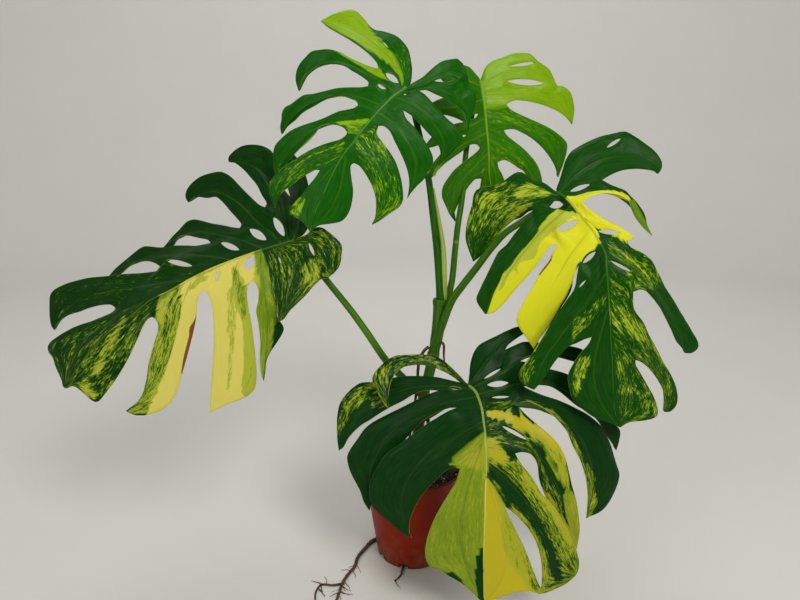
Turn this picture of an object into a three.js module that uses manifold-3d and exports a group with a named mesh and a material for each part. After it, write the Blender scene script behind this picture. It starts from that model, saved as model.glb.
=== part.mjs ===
// A potted aurea monstera: five cut and holed leaves on their stalks, the stem with its roots, the soil and
// the plastic nursery pot. Millimetres, +Z up, origin at the middle of the pot's underside, +Y away from the
// viewer.
import * as THREE from "three";
import { mergeVertices } from "three/addons/utils/BufferGeometryUtils.js";
import Module from "manifold-3d";

// Driving dimensions of the pot and its soil.
const POT = {
  height: 124, rimRadius: 65, baseRadius: 46, wall: 1.6, bandHeight: 26, bandStep: 1.2, segments: 48,
};
const FOOT = {
  floor: 2.4, notchHeight: 6.5, notchCount: 8, notchWidth: 11, notchInner: 30, notchOuter: 52,
  notchTurn: THREE.MathUtils.degToRad(165),
};
// The soil's surface: how far below the rim, how high its middle stands, and a ring between the two.
const SOIL = { below: 12, crown: 4, ringRadius: 0.6, ringHeight: 0.8 };
// Clearance that touching pieces keep.
const SEAT = 0.3;

// Stem radii, and how finely stem, stalks, sheath and roots are divided round and along.
const STEM = { foot: 6.5, middle: 6.5, top: 8.5 };
const DIVISIONS = {
  stem: { sides: 12, steps: 16 }, stalk: { sides: 10, steps: 20 }, sheath: { sides: 8, steps: 12 },
  root: { sides: 6, steps: 18 },
};

// Leaf blades: thickness at the margin and along the midrib, the midrib's width at the joint and at the tip.
const BLADE = { edge: 0.9, centre: 1.8, ribFoot: 5, ribTip: 1.2, ribStart: 0.03 };
// Steps of a lobe from midrib to tip, of the line to a sinus, of a margin from sinus to tip and of a hole's
// edge, and strips across; samples of a midrib, the share of it over which its direction is taken, and
// samples of a curve.
const GRID = { rows: 9, shared: 4, free: 7, hole: 4, across: 2, midrib: 200, heading: 0.02, curve: 400 };
// How full a hole's round is: 1 is a sine, and less is fuller.
const HOLE_FULLNESS = 0.7;
// How far the middle of a lobe stands out of the plane of its margins, in millimetres.
const LOBE_CAMBER = 2.5;

// The plant is laid out from one viewpoint: a frame of 800 by 600 units, the viewpoint's place in
// millimetres, its focal length in frame units, and how far it looks down.
const VIEW = {
  centreU: 400, centreV: 300, focal: 578, pitch: THREE.MathUtils.degToRad(14.2),
  place: new THREE.Vector3(-16.3, -671.1, 510.1),
};

// Each leaf's outline. A point is [u, v] in that frame, and a third number is its real depth y in
// millimetres. A lobe has its near margin, running out from the last sinus, its tip, its far margin, running
// from tip to the next sinus, and the place on the midrib where the line to that sinus begins. A hole lies on
// that line: its inner end, its outer end, its width, and how far it bends towards the leaf's base.
// `firstSide` tells which way round the leaf is seen.
const LEAF_LEFT = {
  firstSide: 1,
  midrib: [[295, 240, -45], [282.9, 243.5, -50], [261.4, 250, -60], [230.8, 260.8, -72],
        [210.4, 269, -78],
    [187, 280.8, -84], [170.6, 290, -88], [150.2, 300.2, -92], [127.8, 318.6, -95], [111.4, 329.8, -96],
    [88, 354, -97], [64, 388, -97]],
  sides: [[
    {name: "upper 0", near: [[304, 234, -36], [309, 224, -18], [310, 205, 8], [307, 180, 32],
        [300, 162]],
      tip: [290, 150, 56], far: [[284, 160, 48], [285, 178, 28]], sinus: [290, 197, 4],
        root: [291, 241]},
    {name: "upper 1", near: [[283, 188, 14], [277.5, 170], [272.4, 152.4, 38], [264.3, 146.8],
        [252, 144.8, 48],
        [241.8, 146.3], [233.7, 151.4], [228.6, 157.6]],
      tip: [229, 161.6, 56],
      far: [[234.7, 162.7], [243.9, 169.8], [252, 179], [257, 185], [262.2, 195.3], [266.8, 203.5]],
      sinus: [265.3, 207.6, -15], root: [285.5, 242.6], hole: [284.3, 236.3, 274, 217.7, 7.5]},
    {name: "upper 2", near: [[260.2, 205.5], [250, 196.3], [239.8, 186], [231.6, 177.4],
        [225.5, 173.4],
        [220.4, 171.8, 34], [208.2, 173.9], [200, 177.4, 48], [190.8, 185], [186.7, 191.2],
        [185.7, 197.3]],
      tip: [188.6, 202.4, 55],
      far: [[190.8, 198.9], [195.9, 196.8], [208.2, 197.9], [216.3, 196.8], [221.4, 200.4],
        [229.6, 209.6],
        [236.7, 217.8], [241.8, 224.9]],
      sinus: [239.8, 228.5, -22], root: [276, 245.5], hole: [266.5, 240.3, 249.8, 229.3, 8]},
    {name: "upper 3", near: [[231.6, 227.4], [221.4, 225.4], [210.2, 223.4], [201, 220.8],
        [193.9, 219.8, 18],
        [187.8, 221.8], [180.6, 229], [172.4, 237]],
      tip: [163.5, 248.5, 36],
      far: [[173.5, 245.8], [179.6, 236.6], [188.8, 236], [199, 238.2], [208.2, 240.2]],
      sinus: [211, 243.3, -30], root: [248, 254.7], hole: [239.5, 250.2, 221, 242.7, 6]},
    {name: "upper 4", near: [[195.9, 246.3], [185.7, 245.8], [173.5, 245.8], [160.4, 247.7, -10],
        [150.2, 246.6],
        [144, 246.6], [138, 250.2], [127.8, 258.4], [115.5, 268.6]],
      tip: [109, 276, 18],
      far: [[120.6, 274.4], [128.8, 267.5], [137, 263.5], [147, 261.6], [155.3, 263.5]],
      sinus: [161, 267, -42], root: [211, 268.7], hole: [192.6, 266.3, 166.5, 260.6, 5]},
    {name: "upper 5", near: [[159, 270.6], [150, 272.6], [137, 273.7], [120.6, 274.4, -42],
        [108.4, 276.2],
        [91, 277.8], [80.8, 279.8, -34], [66.5, 283.9], [54.3, 290], [50.7, 295], [49.9, 301],
        [50.2, 319.6],
        [51.7, 326.7]],
      tip: [54.3, 330.3, -24],
      far: [[55.3, 326.7], [60.4, 320.6], [68.6, 315], [80.8, 311.4], [92, 307.3], [105.3, 304.8],
        [112.4, 305.3]],
      sinus: [116, 308.4, -68], root: [163, 294]},
    {name: "upper end", near: [[113, 312.4], [105.3, 316], [91, 321.6], [74.7, 327.2, -70],
        [58.4, 336.4],
        [50.2, 343, -66], [48.2, 348.2], [49.2, 352.8], [52.2, 356.3], [56.3, 367.6], [60.9, 378.8, -90]]}
  ], [
    {name: "lower 0", near: [[300.2, 237.3, -46], [307.3, 234.3], [311.4, 230.2], [315.5, 227.7, -45],
        [321.6, 227.7], [328.8, 232.2], [337, 239.4], [341.5, 245.5, -48], [341, 255.7], [339, 265.9]],
      tip: [332.9, 274, -56], far: [[327.8, 277.7]], sinus: [320.6, 279.2, -62],
        root: [290, 241.5],
      hole: [309, 243, 314.5, 256, 3.5]},
    {name: "lower 1", near: [[312.4, 287.3], [306.3, 294.5], [297, 303.7], [289, 311.8],
        [283.9, 319]],
      tip: [279, 322, -90], far: [], sinus: [276.8, 307.8, -80], root: [264, 249.3]},
    {name: "lower 2", near: [[277.6, 318, -71], [283.5, 328, -72], [281.8, 334.3],
        [276.7, 342.4, -80],
        [271.6, 350], [266, 361], [264.5, 372]],
      tip: [263.5, 381, -98],
      far: [[261.4, 374], [259.9, 362.9], [260.4, 342.4], [258.4, 324], [256.3, 310.8], [258.4, 299.6],
        [258.4, 290.4], [255, 283]],
      sinus: [251.5, 280.5, -78], root: [254, 252.5], hole: [253.5, 256, 245.5, 270, 10]},
    {name: "lower 3", near: [[248.2, 285.3], [246.6, 293.5], [248.7, 309.8], [251.2, 322],
        [253.8, 342.4],
        [256.3, 368], [256.5, 377], [254.5, 389, -102], [245.6, 396.9], [225.8, 404.8]],
      tip: [209.6, 413, -104], far: [[212, 377], [214, 327.7], [210, 298]],
      sinus: [204, 288.8, -90], root: [221, 264.8], hole: [218.5, 270, 216, 282, 3]},
    {name: "lower 4", near: [[198.2, 298], [196.2, 317.8], [190, 345], [182.3, 373.2], [176.4, 393],
        [166.5, 406.8, -108], [150.7, 414], [134.9, 414.7]],
      tip: [126, 411, -108],
      far: [[140, 399], [146, 382.9], [149.2, 362.4], [153.3, 347], [157.3, 333.9], [158.4, 326.7],
        [156.3, 320]],
      sinus: [152.2, 317, -97], root: [163, 294]},
    {name: "lower end", near: [[148.2, 319], [143, 326.7], [138, 338], [126.7, 361.4],
        [115.5, 379.8, -104],
        [103.3, 396], [99.3, 400.9], [95.4, 401.8, -106], [88, 397], [80.8, 390.5], [72.7, 386]]}
  ]]
};
const LEAF_TOP = {
  firstSide: 1,
  midrib: [[406.8, 86.6, -20], [402.8, 89.7, -22], [392.6, 96.8, -27], [382.3, 107, -32],
        [372, 118.3, -37],
    [361.9, 130.5, -41], [354.8, 140.7, -44], [344.6, 153, -48], [336.4, 166.4, -51], [330.3, 178.7, -53],
    [324.2, 192, -55], [316, 210.3, -58], [309.9, 231.7, -60]],
  sides: [[
    {name: "left 0", near: [[409.9, 84.6, -14], [411.9, 71.3, 4], [410.9, 62], [407.9, 49.9, 20],
        [402.8, 42.8], [395.6, 36.6, 24], [383.4, 32], [373.2, 29.5, 20], [365, 20.3], [357.9, 12.7],
        [351.7, 10],
        [342.6, 11.6], [330.3, 15.7]],
      tip: [320.6, 21, 18],
      far: [[328.3, 27.4], [338.5, 33.6], [351.7, 41.7, -6], [361.9, 48.9], [368, 54], [373, 59],
        [377.2, 64.2]],
      sinus: [377.8, 68.3, -25], root: [403, 89.5], hole: [398.5, 83, 385.5, 73.5, 6]},
    {name: "left 1", near: [[369, 66.2], [356.8, 61], [346.6, 56], [340.5, 52.4, 0], [328.3, 49.4],
        [320, 49.9],
        [311.9, 51.4], [305.8, 57], [299.7, 64.2], [296.6, 71.3], [295.6, 79.5], [297, 86.6]],
      tip: [298.7, 91.2, 20],
      far: [[299.2, 85.6], [302.8, 77.4], [309.9, 70.3], [318, 65.7], [328.3, 63.7], [342.6, 64.7],
        [351.7, 70.3], [363, 77.4], [369, 83]],
      sinus: [368, 86, -30], root: [389.5, 100], hole: [386, 89, 377.5, 84.5, 4]},
    {name: "left 2", near: [[363, 87.3], [346.6, 87.4], [336.4, 88.2], [326.2, 90.7], [314, 93.8],
        [303.8, 95.3], [296.6, 99.9], [290.5, 104.5], [285.4, 107], [282.3, 112], [281.3, 120.3],
        [280, 127.4]],
      tip: [281.3, 134.6, 12],
      far: [[282.3, 131.5], [288.5, 125.4], [295.6, 120.3], [302.8, 113.2], [314, 106.5],
        [324.2, 100.4],
        [332.3, 97.3], [342.6, 96.3], [349.7, 98.4], [356.8, 101.9]],
      sinus: [358, 105.5, -34], root: [375, 115]},
    {name: "left 3", near: [[354.8, 108], [346.6, 110], [338.5, 111.6], [328.3, 116.2], [316, 121.3],
        [303.8, 125.4], [291.5, 130.5], [281.3, 138.7], [275.2, 145.8], [273.2, 154], [273.7, 166.4]],
      tip: [275.7, 175.6, -4],
      far: [[278.3, 172.6], [285.4, 164.4], [291.5, 157.2], [299.7, 149], [308.9, 140.9], [316, 132.8],
        [320, 126.6], [326.2, 124.6], [331.3, 124.4], [338.5, 125.6], [344.6, 128.7]],
      sinus: [347.4, 132.8, -44], root: [358, 136]},
    {name: "left 4", near: [[345.6, 135.8], [340.5, 139.4], [330.3, 142.4], [320, 146], [308.9, 151],
        [295.6, 159.3], [285.4, 166.4], [275.2, 175.6, -24], [270, 182.8], [269.3, 188.9], [271, 198]],
      tip: [275.2, 209.3, -22],
      far: [[276.2, 202], [280.3, 195], [285.4, 189.9], [293.6, 183.8], [302.8, 177], [311.9, 172],
        [316, 170]],
      sinus: [320, 170.5, -48], root: [338, 164]},
    {name: "left end", near: [[316, 177], [308.9, 185.8], [301.7, 195], [294.6, 203.2],
        [288, 212.3, -46],
        [291.5, 215.4], [299.7, 219.5], [305.8, 224.6]]}
  ], [
    {name: "right 0", near: [[416, 81, -14], [422.8, 77], [430.5, 70.2], [438, 64, -4],
        [443.5, 61], [450.4, 59.5], [457.3, 58.8]],
      tip: [463, 63.5, 8], far: [[466, 70]], sinus: [467.6, 76, 6], root: [404.6, 88.3],
      hole: [434, 81, 457, 79, 4]},
    {name: "right 1", near: [[468.6, 83.3], [469.5, 88.6], [472.6, 90.9], [475.3, 97], [474.9, 104.7],
        [473, 112.3], [469.5, 122.3]],
      tip: [468.6, 130, 2],
      far: [[466.5, 121.5], [464.2, 113.9], [459.6, 108.5], [452, 103], [445, 98.6], [435, 94],
        [425.9, 90]],
      sinus: [417, 90, -19], root: [401, 91]},
    {name: "right 2", near: [[424, 94], [436.6, 107.7], [439.7, 110.8], [447.3, 119.2],
        [453.5, 124.6],
        [458.8, 129.5], [462.6, 136], [461, 141.4], [453.5, 150.6], [445, 159.8], [440, 167]],
      tip: [433, 177, -14],
      far: [[439, 160], [440.4, 152], [437.4, 143.7], [425.9, 130.7], [418.3, 122.3], [410, 114.5]],
      sinus: [403, 110.4, -32], root: [388, 101.3]},
    {name: "right 3", near: [[406, 118.5], [415.2, 128.4], [430, 150], [433, 162, -36],
        [424.2, 178.7],
        [417, 185.8], [410.9, 193]],
      tip: [407.3, 198.6, -38],
      far: [[409.4, 184.8], [408.4, 173.6], [404.8, 162.3], [399.7, 151], [394.6, 140.9],
        [389.5, 130.7],
        [383.4, 126]],
      sinus: [378.3, 126, -38], root: [368, 123]},
    {name: "right 4", near: [[376.2, 132.8], [381.3, 140.9], [389.5, 152], [395.6, 162.3],
        [399.7, 174.6],
        [402.2, 186.8], [402.8, 200], [399.7, 206.2], [389.5, 213.4], [379.3, 220.5]],
      tip: [371.9, 224.6, -46],
      far: [[375.2, 217.4], [376.2, 207.2], [375.7, 198], [373.2, 188.9], [369, 179.7], [364, 171.5],
        [358.9, 165.4]],
      sinus: [353.8, 162.9, -48], root: [344, 154]},
    {name: "right end", near: [[350.7, 165.4], [350.5, 170.5], [351.7, 180.7], [353, 189.9],
        [352.2, 200],
        [349.7, 210.3, -52], [345.6, 217.4], [340.5, 221.5], [330.3, 223.6], [318, 225.6]]}
  ]]
};
const LEAF_LIME = {
  firstSide: 1,
  midrib: [[480.2, 80.7, 34], [481.5, 83.4, 32], [482.9, 94, 29], [484.6, 105.7, 26], [486, 120, 24],
    [486.9, 130.7, 23], [488.2, 143.2, 22], [488.9, 161, 24], [489.1, 172.7, 27], [490.7, 184.8, 32],
    [493, 216, 42]],
  sides: [[
    {name: "left 0", near: [[479.5, 78.5, 36], [474.9, 73.3], [470.3, 68], [465.7, 65.7, 44],
        [455, 64],
        [446, 68]],
      tip: [439, 77, 56], far: [[446, 84], [456, 88]], sinus: [466, 92, 34], root: [482, 89]},
    {name: "left 1", near: [[456, 95], [443, 98], [432, 103]], tip: [424, 112, 54],
      far: [[434, 113], [446, 115], [456, 118]], sinus: [464, 122, 31], root: [485, 110],
      hole: [478, 114, 470, 119, 4]},
    {name: "left 2", near: [[455, 124], [444, 129], [432, 137]], tip: [423, 149, 52],
      far: [[436, 146], [450, 139], [460, 135]], sinus: [468, 135, 29], root: [486.6, 127]},
    {name: "left 3", near: [[460, 139], [444, 151], [431, 167]], tip: [427.5, 184, 46],
      far: [[430, 180], [443, 165], [453, 157.5], [462.3, 151], [469, 145.4], [473, 144],
        [477.5, 144.6]],
      sinus: [480, 147.7, 25], root: [487.8, 139]},
    {name: "left 4", near: [[478.4, 150.4], [469.3, 158], [462, 163.4], [454, 170.5], [447.9, 178.6],
        [443.4, 185.7], [441.9, 192], [442.5, 198.2], [446, 206.3], [449.6, 214.3]],
      tip: [455.4, 221.9, 42],
      far: [[454, 216], [455.9, 209], [460.4, 199], [465.7, 190.2], [470.2, 184], [475.5, 179]],
      sinus: [481.5, 178.5, 29], root: [489, 169]},
    {name: "left end", near: [[480, 187], [477.5, 197], [480, 208]]}
  ], [
    {name: "right 0", near: [[482, 76.3, 36], [484.6, 69], [490, 62.4, 42], [494.5, 60.2],
        [500.7, 58.4],
        [507.9, 55.3], [515.9, 53.5], [523.9, 53.2, 52], [529.3, 53.9], [532.9, 56.6], [537.3, 61],
        [542.7, 64.6], [548, 68.2], [551.6, 73.6]],
      tip: [554.6, 81, 60], far: [], sinus: [557.5, 86.3, 59], root: [482.2, 88],
      hole: [507, 81.2, 544, 83.4, 6]},
    {name: "right 1", near: [[562, 86.5], [566.8, 88.8], [570.4, 93.2], [572.6, 100.4],
        [573.9, 110.2],
        [573, 119]],
      tip: [572, 124.5, 63],
      far: [[567.7, 119], [560.5, 112.9], [549.8, 107.5], [538.2, 103.5], [524.8, 100.8], [514, 100.5]],
      sinus: [506.3, 104.3, 30], root: [484.2, 103]},
    {name: "right 2", near: [[510, 109], [518.6, 113.8], [529.3, 118.7], [540, 123.6], [548.9, 128],
        [557, 133.4], [564, 139.6], [566.8, 144], [566.3, 152], [563.2, 163.8]],
      tip: [557.9, 177, 62],
      far: [[556, 169], [550.7, 158.4], [542.7, 147.7], [533.8, 139.6], [523, 133], [513.2, 129]],
      sinus: [503.5, 130, 29], root: [486.6, 127]},
    {name: "right 3", near: [[506.5, 135.2], [514, 141.4], [522, 147.7], [530.2, 155.7],
        [536.4, 163.8],
        [540, 171.8], [542, 185]],
      tip: [538, 203, 56],
      far: [[531, 186], [523.8, 171.4], [518.4, 167.9], [510.4, 162.5], [504, 159.8]],
      sinus: [497.5, 162, 29], root: [488.7, 153]},
    {name: "right end", near: [[498.5, 168], [501.4, 173.2], [504, 179.5], [507, 191], [504, 204]]}
  ]]
};
const LEAF_RIGHT = {
  firstSide: -1,
  midrib: [[556.5, 192, -15], [565, 197, -24], [571.5, 203.5, -32], [578, 212, -40], [585.6, 222, -48],
    [592, 229.5, -55], [598.6, 240.4, -62], [603, 248, -67], [606.2, 256.5, -72], [606.3, 262.8, -75],
    [607.6, 281.9, -80], [608.9, 301, -83], [610, 320, -85], [610.8, 339.3, -86], [612, 358.4, -87],
    [612.7, 377.6, -87], [613.3, 396.7, -87], [615.9, 415.8, -87], [620.3, 427.3, -87]],
  sides: [[
    {name: "right 0", near: [[556.5, 189, -12], [559.5, 180.7, -6], [562.8, 169.9], [566, 160, 6],
        [571.5, 151.5], [575.8, 148.7], [587.7, 142.2, 15], [600.7, 136.8], [613.8, 133.6],
        [622.4, 131.9, 18],
        [626.8, 132.5], [634.4, 136.8], [644, 143.3], [652.8, 149.8, 10], [658.2, 155.8],
        [662, 163.4]],
      tip: [661.3, 169, 2],
      far: [[657.5, 173.9, 0], [653.9, 171.5], [646.3, 169.7], [635.4, 169, -4], [624.6, 170],
        [615.9, 172.6], [607.2, 177]],
      sinus: [602, 180.2, -22], root: [562, 195], hole: [570, 191.5, 590, 184.5, 5]},
    {name: "right 1", near: [[609.4, 184.5], [618, 187.8], [625.7, 191], [630, 195.9], [634.5, 200.3],
        [641.4, 209.5], [644.5, 215.4], [647.3, 226.3]],
      tip: [652, 235.8, -30],
      far: [[643, 227.4], [635.4, 217.6], [631, 207.9], [628.8, 200.8], [624.6, 197], [616, 194.3],
        [607.2, 193.2], [598.6, 194.3], [587.7, 198]],
      sinus: [582.5, 203.5, -40], root: [575, 208]},
    {name: "right 2", near: [[588, 208.8], [596.4, 214.4], [605, 219.8], [616, 225.2], [623.5, 229.5],
        [630, 233.9]],
      tip: [633.3, 237.7, -62], far: [], sinus: [627, 241.8, -66], root: [590, 227.3],
      hole: [598, 231.2, 620.8, 233, 5]},
    {name: "right 3", near: [[630, 246.9], [637.6, 250.7], [646.3, 255.6, -66], [651.7, 261],
        [658.2, 274],
        [663, 284.4], [672, 298.5], [680.9, 313.8, -54], [691, 330.4], [698, 343], [697.5, 348.2],
        [691, 353.3]],
      tip: [684.7, 353, -52],
      far: [[682.2, 348.2], [675.8, 340.6], [670.7, 329], [663, 313.8], [659.2, 307.4], [651.6, 297.2],
        [645.2, 290.8], [639.5, 289.6]],
      sinus: [633.4, 292, -86], root: [606.2, 260], hole: [610, 260.5, 631.5, 272, 3]},
    {name: "right 4", near: [[632, 302], [634.6, 311], [642.7, 322], [647.8, 333], [650.8, 339],
        [656.7, 349.5], [663, 362.2], [670.7, 375], [675.8, 386.5], [677.5, 398], [675.8, 405.6],
        [669.4, 411.7]],
      tip: [663.7, 411.7, -66],
      far: [[666.3, 406], [666.3, 401.8], [663, 390.3], [656.7, 378.8], [649, 368.6], [641.4, 362.2]],
      sinus: [635.3, 359.7, -88], root: [610.5, 333]},
    {name: "right end", near: [[635.6, 364.5], [640, 372.4], [646.5, 383.9], [652.9, 395.4],
        [656.7, 405.6, -76], [657.3, 414.5], [654, 417.7], [643.9, 420.3], [628.6, 422.5]]}
  ], [
    {name: "left 0", near: [[553, 189.5, -10], [541.6, 182, -3], [530.9, 180.4], [524.6, 174],
        [519.3, 171.9, 6], [512, 175], [505.9, 179.5], [499.6, 183.5], [492.5, 185.7], [483.6, 187, 8],
        [476.4, 190.2], [473.8, 194.6], [472, 205.4], [468.4, 217], [466, 228.6], [465.7, 239.3, 4],
        [468.4, 249]],
      tip: [473.2, 261.6, 4],
      far: [[480, 256.3], [487, 248.2], [494.3, 241], [497.9, 234.8, 6], [505.9, 226.8], [513, 220.5],
        [521, 217, 2], [528.2, 211.6]],
      sinus: [533.6, 209.7, -14], root: [563, 195.6], hole: [563.8, 204.3, 548, 205.6, 8]},
    {name: "left 1", near: [[526, 220, -22], [514, 234.8, -26], [506.8, 244.6], [498.8, 251.8],
        [492.5, 263.4],
        [487, 275], [480, 289.3], [476.5, 300]],
      tip: [485, 314, -34],
      far: [[493, 312.8], [504.6, 302.5], [514.8, 290], [528.2, 275], [537, 264.3], [545.2, 252.7],
        [552.3, 244.6]],
      sinus: [558.6, 244, -50], root: [581, 215.8], hole: [578.3, 220.8, 556.8, 231.2, 7.5]},
    {name: "left 2", near: [[552.3, 253.6], [550.5, 259], [539.4, 274], [531, 290], [522.8, 303.6],
        [516.4, 320, -56], [519.6, 327.8], [526.6, 338]],
      tip: [533.6, 348.9, -56],
      far: [[539.3, 339.3], [547, 329], [554.6, 318.9], [561, 307.4], [567.4, 297.2, -61],
        [571.5, 288.3],
        [574, 275.5]],
      sinus: [578.9, 264.6, -66], root: [600.5, 243.5], hole: [595.7, 251.6, 582.8, 263.2, 5]},
    {name: "left 3", near: [[577, 275.5], [574.5, 288.3, -72], [567, 299.7], [560, 310], [553, 321.4],
        [544.5, 334.2], [536.5, 347], [530, 357], [522, 367.3], [519, 373.7], [520.2, 380],
        [525.3, 385.8]],
      tip: [534, 389.7, -94],
      far: [[539.3, 384], [548.3, 371], [557.2, 358.4], [567.4, 347], [576.3, 343], [584, 339.3]],
      sinus: [591.5, 337, -84], root: [609.3, 308]},
    {name: "left end", near: [[589, 343], [581.4, 352], [575, 361], [570, 370, -84], [568, 376.3],
        [569.3, 387.8], [572.5, 398], [578.9, 405.6, -84], [586.5, 412], [596.7, 418.4], [605.7, 421]]}
  ]]
};
const LEAF_FRONT = {
  firstSide: 1,
  midrib: [[467.8, 385.6, -70], [470.8, 387, -74], [475.9, 392.2, -82], [479, 399.4, -90],
        [482, 409.6, -98],
    [483.6, 421.8, -106], [485, 432, -112], [485.4, 442.2, -117], [486.4, 457.6, -123],
        [486.2, 473.5, -129],
    [485.4, 493.6, -136], [485, 515, -142], [484.3, 533.7, -147], [483.4, 553.8, -151],
        [483.6, 574, -155],
    [484, 604, -160]],
  sides: [[
    {name: "left 0", near: [[460.6, 377, -58], [450.4, 366.7, -52], [442.2, 359.6, -50],
        [432, 355.5], [421.8, 354.5, -52], [406.5, 355], [395.3, 356, -58], [388.2, 359.6],
        [381, 365.7, -66],
        [373.9, 373.9], [372.3, 380, -76], [376.4, 390.2], [380, 396.3], [384.5, 404.5]],
      tip: [388.4, 408.4, -92],
      far: [[388.2, 401.4], [388.7, 391.2, -86], [390.2, 384], [393.3, 377, -74], [398.4, 370.8],
        [406.5, 364.7, -63], [414.7, 360.6], [421.8, 359.6, -56], [437, 365.5, -56],
        [446.5, 372, -58]],
      sinus: [454, 379.4, -61], root: [469, 386.2]},
    {name: "left 1", near: [[447, 379.3], [437.5, 377.6, -60], [425, 376.4],
        [401.4, 376.4],
        [393.3, 378, -58],
        [371.8, 382], [360.6, 383, -60], [352.4, 388.2], [345.3, 395.3], [340.2, 403.5],
        [337.7, 413.7, -68],
        [337, 426], [337.7, 440.2]],
      tip: [339, 450.4, -82],
      far: [[343.3, 447.3], [348.4, 438.2], [355.5, 430], [362.7, 423.9], [368.3, 420.8, -78],
        [379, 413.7],
        [391.2, 406.5], [403.5, 400.4], [411.6, 395.3], [421.8, 391.2], [430, 390.2]],
      sinus: [438.2, 390.6, -74], root: [474, 390], hole: [462, 389, 448.5, 387.6, 2.6]},
    {name: "left 2", near: [[425, 396, -71], [405, 406], [385, 416, -68], [372, 423], [364.7, 429],
        [357.6, 439.2], [350.4, 449.4, -76], [347.3, 456.5], [347.9, 462.7], [350.4, 471.8], [355.5, 482],
        [360.2, 491], [364, 502.2]],
      tip: [369.5, 510.9, -94],
      far: [[373, 495], [376, 475, -86], [386, 458], [393, 450], [401, 444, -84], [407, 437],
        [414, 429],
        [421.8, 421.5], [432, 415.2], [442.2, 410.5], [450.4, 408]],
      sinus: [456.5, 408, -91], root: [480.5, 403.5]},
    {name: "left 3", near: [[447.3, 411.6, -95], [437, 417.8], [427, 423.9], [414.7, 433, -98],
        [406.5, 439.2],
        [400, 444.3], [385, 455.5], [379, 464.7], [373.9, 472.9, -100], [370.3, 483], [369.6, 489],
        [370, 499.2],
        [372, 505.3], [378.6, 512.4, -105], [385.7, 518.6], [393.9, 525.7], [403, 532.9]],
      tip: [412, 537, -114],
      far: [[410.2, 532.9], [409.4, 524.7], [410.2, 518.6], [413.3, 510.4, -116], [418.4, 500.2],
        [425.5, 491],
        [431.6, 483.9], [439.8, 475.7], [446.9, 469.6], [452, 467.6]],
      sinus: [460, 468.6, -122], root: [485.4, 441]},
    {name: "left end", near: [[456.5, 480.8], [450, 492], [441.8, 505.3], [434.7, 518.6, -130],
        [429.6, 530.8], [426.5, 542], [425.3, 551.2], [426.5, 560.4, -136], [430.6, 567], [439.8, 570],
        [447, 574.7], [458, 580.8], [465.3, 586], [472.4, 593]]}
  ], [
    {name: "right 0", near: [[469.5, 374.3, -58], [470.7, 362.8, -50], [474, 352.5, -45],
        [478.7, 345.6], [484.4, 342], [496, 336.4, -38], [507.4, 330.7], [518.3, 326.6]],
      tip: [535, 329, -32], far: [[522.3, 334.7], [514.3, 339.9], [507.4, 345.6]],
      sinus: [505, 350, -48], root: [470.3, 386.8], hole: [483.9, 378.9, 501, 368.5, 3]},
    {name: "right 1", near: [[514.3, 345.6], [523.5, 342], [535, 342.5], [550, 343.5], [572.8, 346.7],
        [583, 350]],
      tip: [600, 365, -36], far: [[588, 364], [574.6, 361.7], [559, 357.6], [545, 355.8],
        [530.4, 355.4]],
      sinus: [519.5, 361, -60], root: [474.5, 390.7], hole: [487, 385, 509, 383, 6]},
    {name: "right 2", near: [[535, 364.5], [549.3, 369], [569.4, 375.4, -54], [590, 392], [604, 410],
        [613, 422], [620, 430.6, -50], [619.5, 439.7]],
      tip: [616.5, 450.6, -50],
      far: [[611.9, 443.2], [606.5, 435.5], [598, 421], [587, 411.5], [576.9, 405.8], [567, 397.8],
        [559, 391.5], [551, 387], [539.6, 385]],
      sinus: [522.5, 386.3, -70], root: [479.2, 399.8], hole: [491.3, 397.5, 509.7, 396.7, 2.5]},
    {name: "right 3", near: [[530.4, 390.4], [541.8, 395], [559, 400.7], [576.9, 409, -70],
        [587.8, 415],
        [599.3, 424.5], [607.3, 437.8, -66], [613, 453.5], [616.5, 465], [619.3, 473.5], [618.2, 481.5],
        [610, 500.3], [600.8, 511]],
      tip: [586, 518, -98],
      far: [[587.4, 497.6], [586, 480], [582, 465.4], [576.7, 453.4], [571.3, 442.7], [566, 430.6],
        [557.4, 420.2], [547.6, 411], [536, 404], [525.8, 401.3]],
      sinus: [515.5, 403.5, -88], root: [483.7, 421.5]},
    {name: "right 4", near: [[522, 411], [530.4, 419], [541.8, 428.3], [551, 436.3], [559, 445.5],
        [564.8, 457, -112], [568.3, 470.7], [571.5, 485], [576, 500.3], [578.7, 517.7], [579.6, 531]],
      tip: [576.7, 549, -124],
      far: [[566, 531], [553, 510], [543.5, 492, -124], [538.5, 477.5], [536.5, 462.8], [531, 454.7],
        [521.8, 452]],
      sinus: [515, 453.5, -122], root: [485.6, 447]},
    {name: "right 5", near: [[518.9, 460.5], [524.6, 468.3], [532.7, 478.5], [541.2, 493, -132],
        [551.2, 503.6],
        [560.6, 517, -138], [567.3, 529], [572.7, 541.4], [577, 552], [578.9, 560.5], [578.7, 568.6],
        [577.6, 571.5]],
      tip: [575.4, 575.3, -140], far: [[566, 583], [554, 589.3, -144], [546.5, 592.5]],
      sinus: [540, 593.8, -149], root: [485.9, 480], hole: [504.8, 506.5, 541, 588, 13.6, 7.6]},
    {name: "right end", near: [[530.5, 591.8, -154], [517.8, 592, -156], [503, 596]]}
  ]]
};

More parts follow.
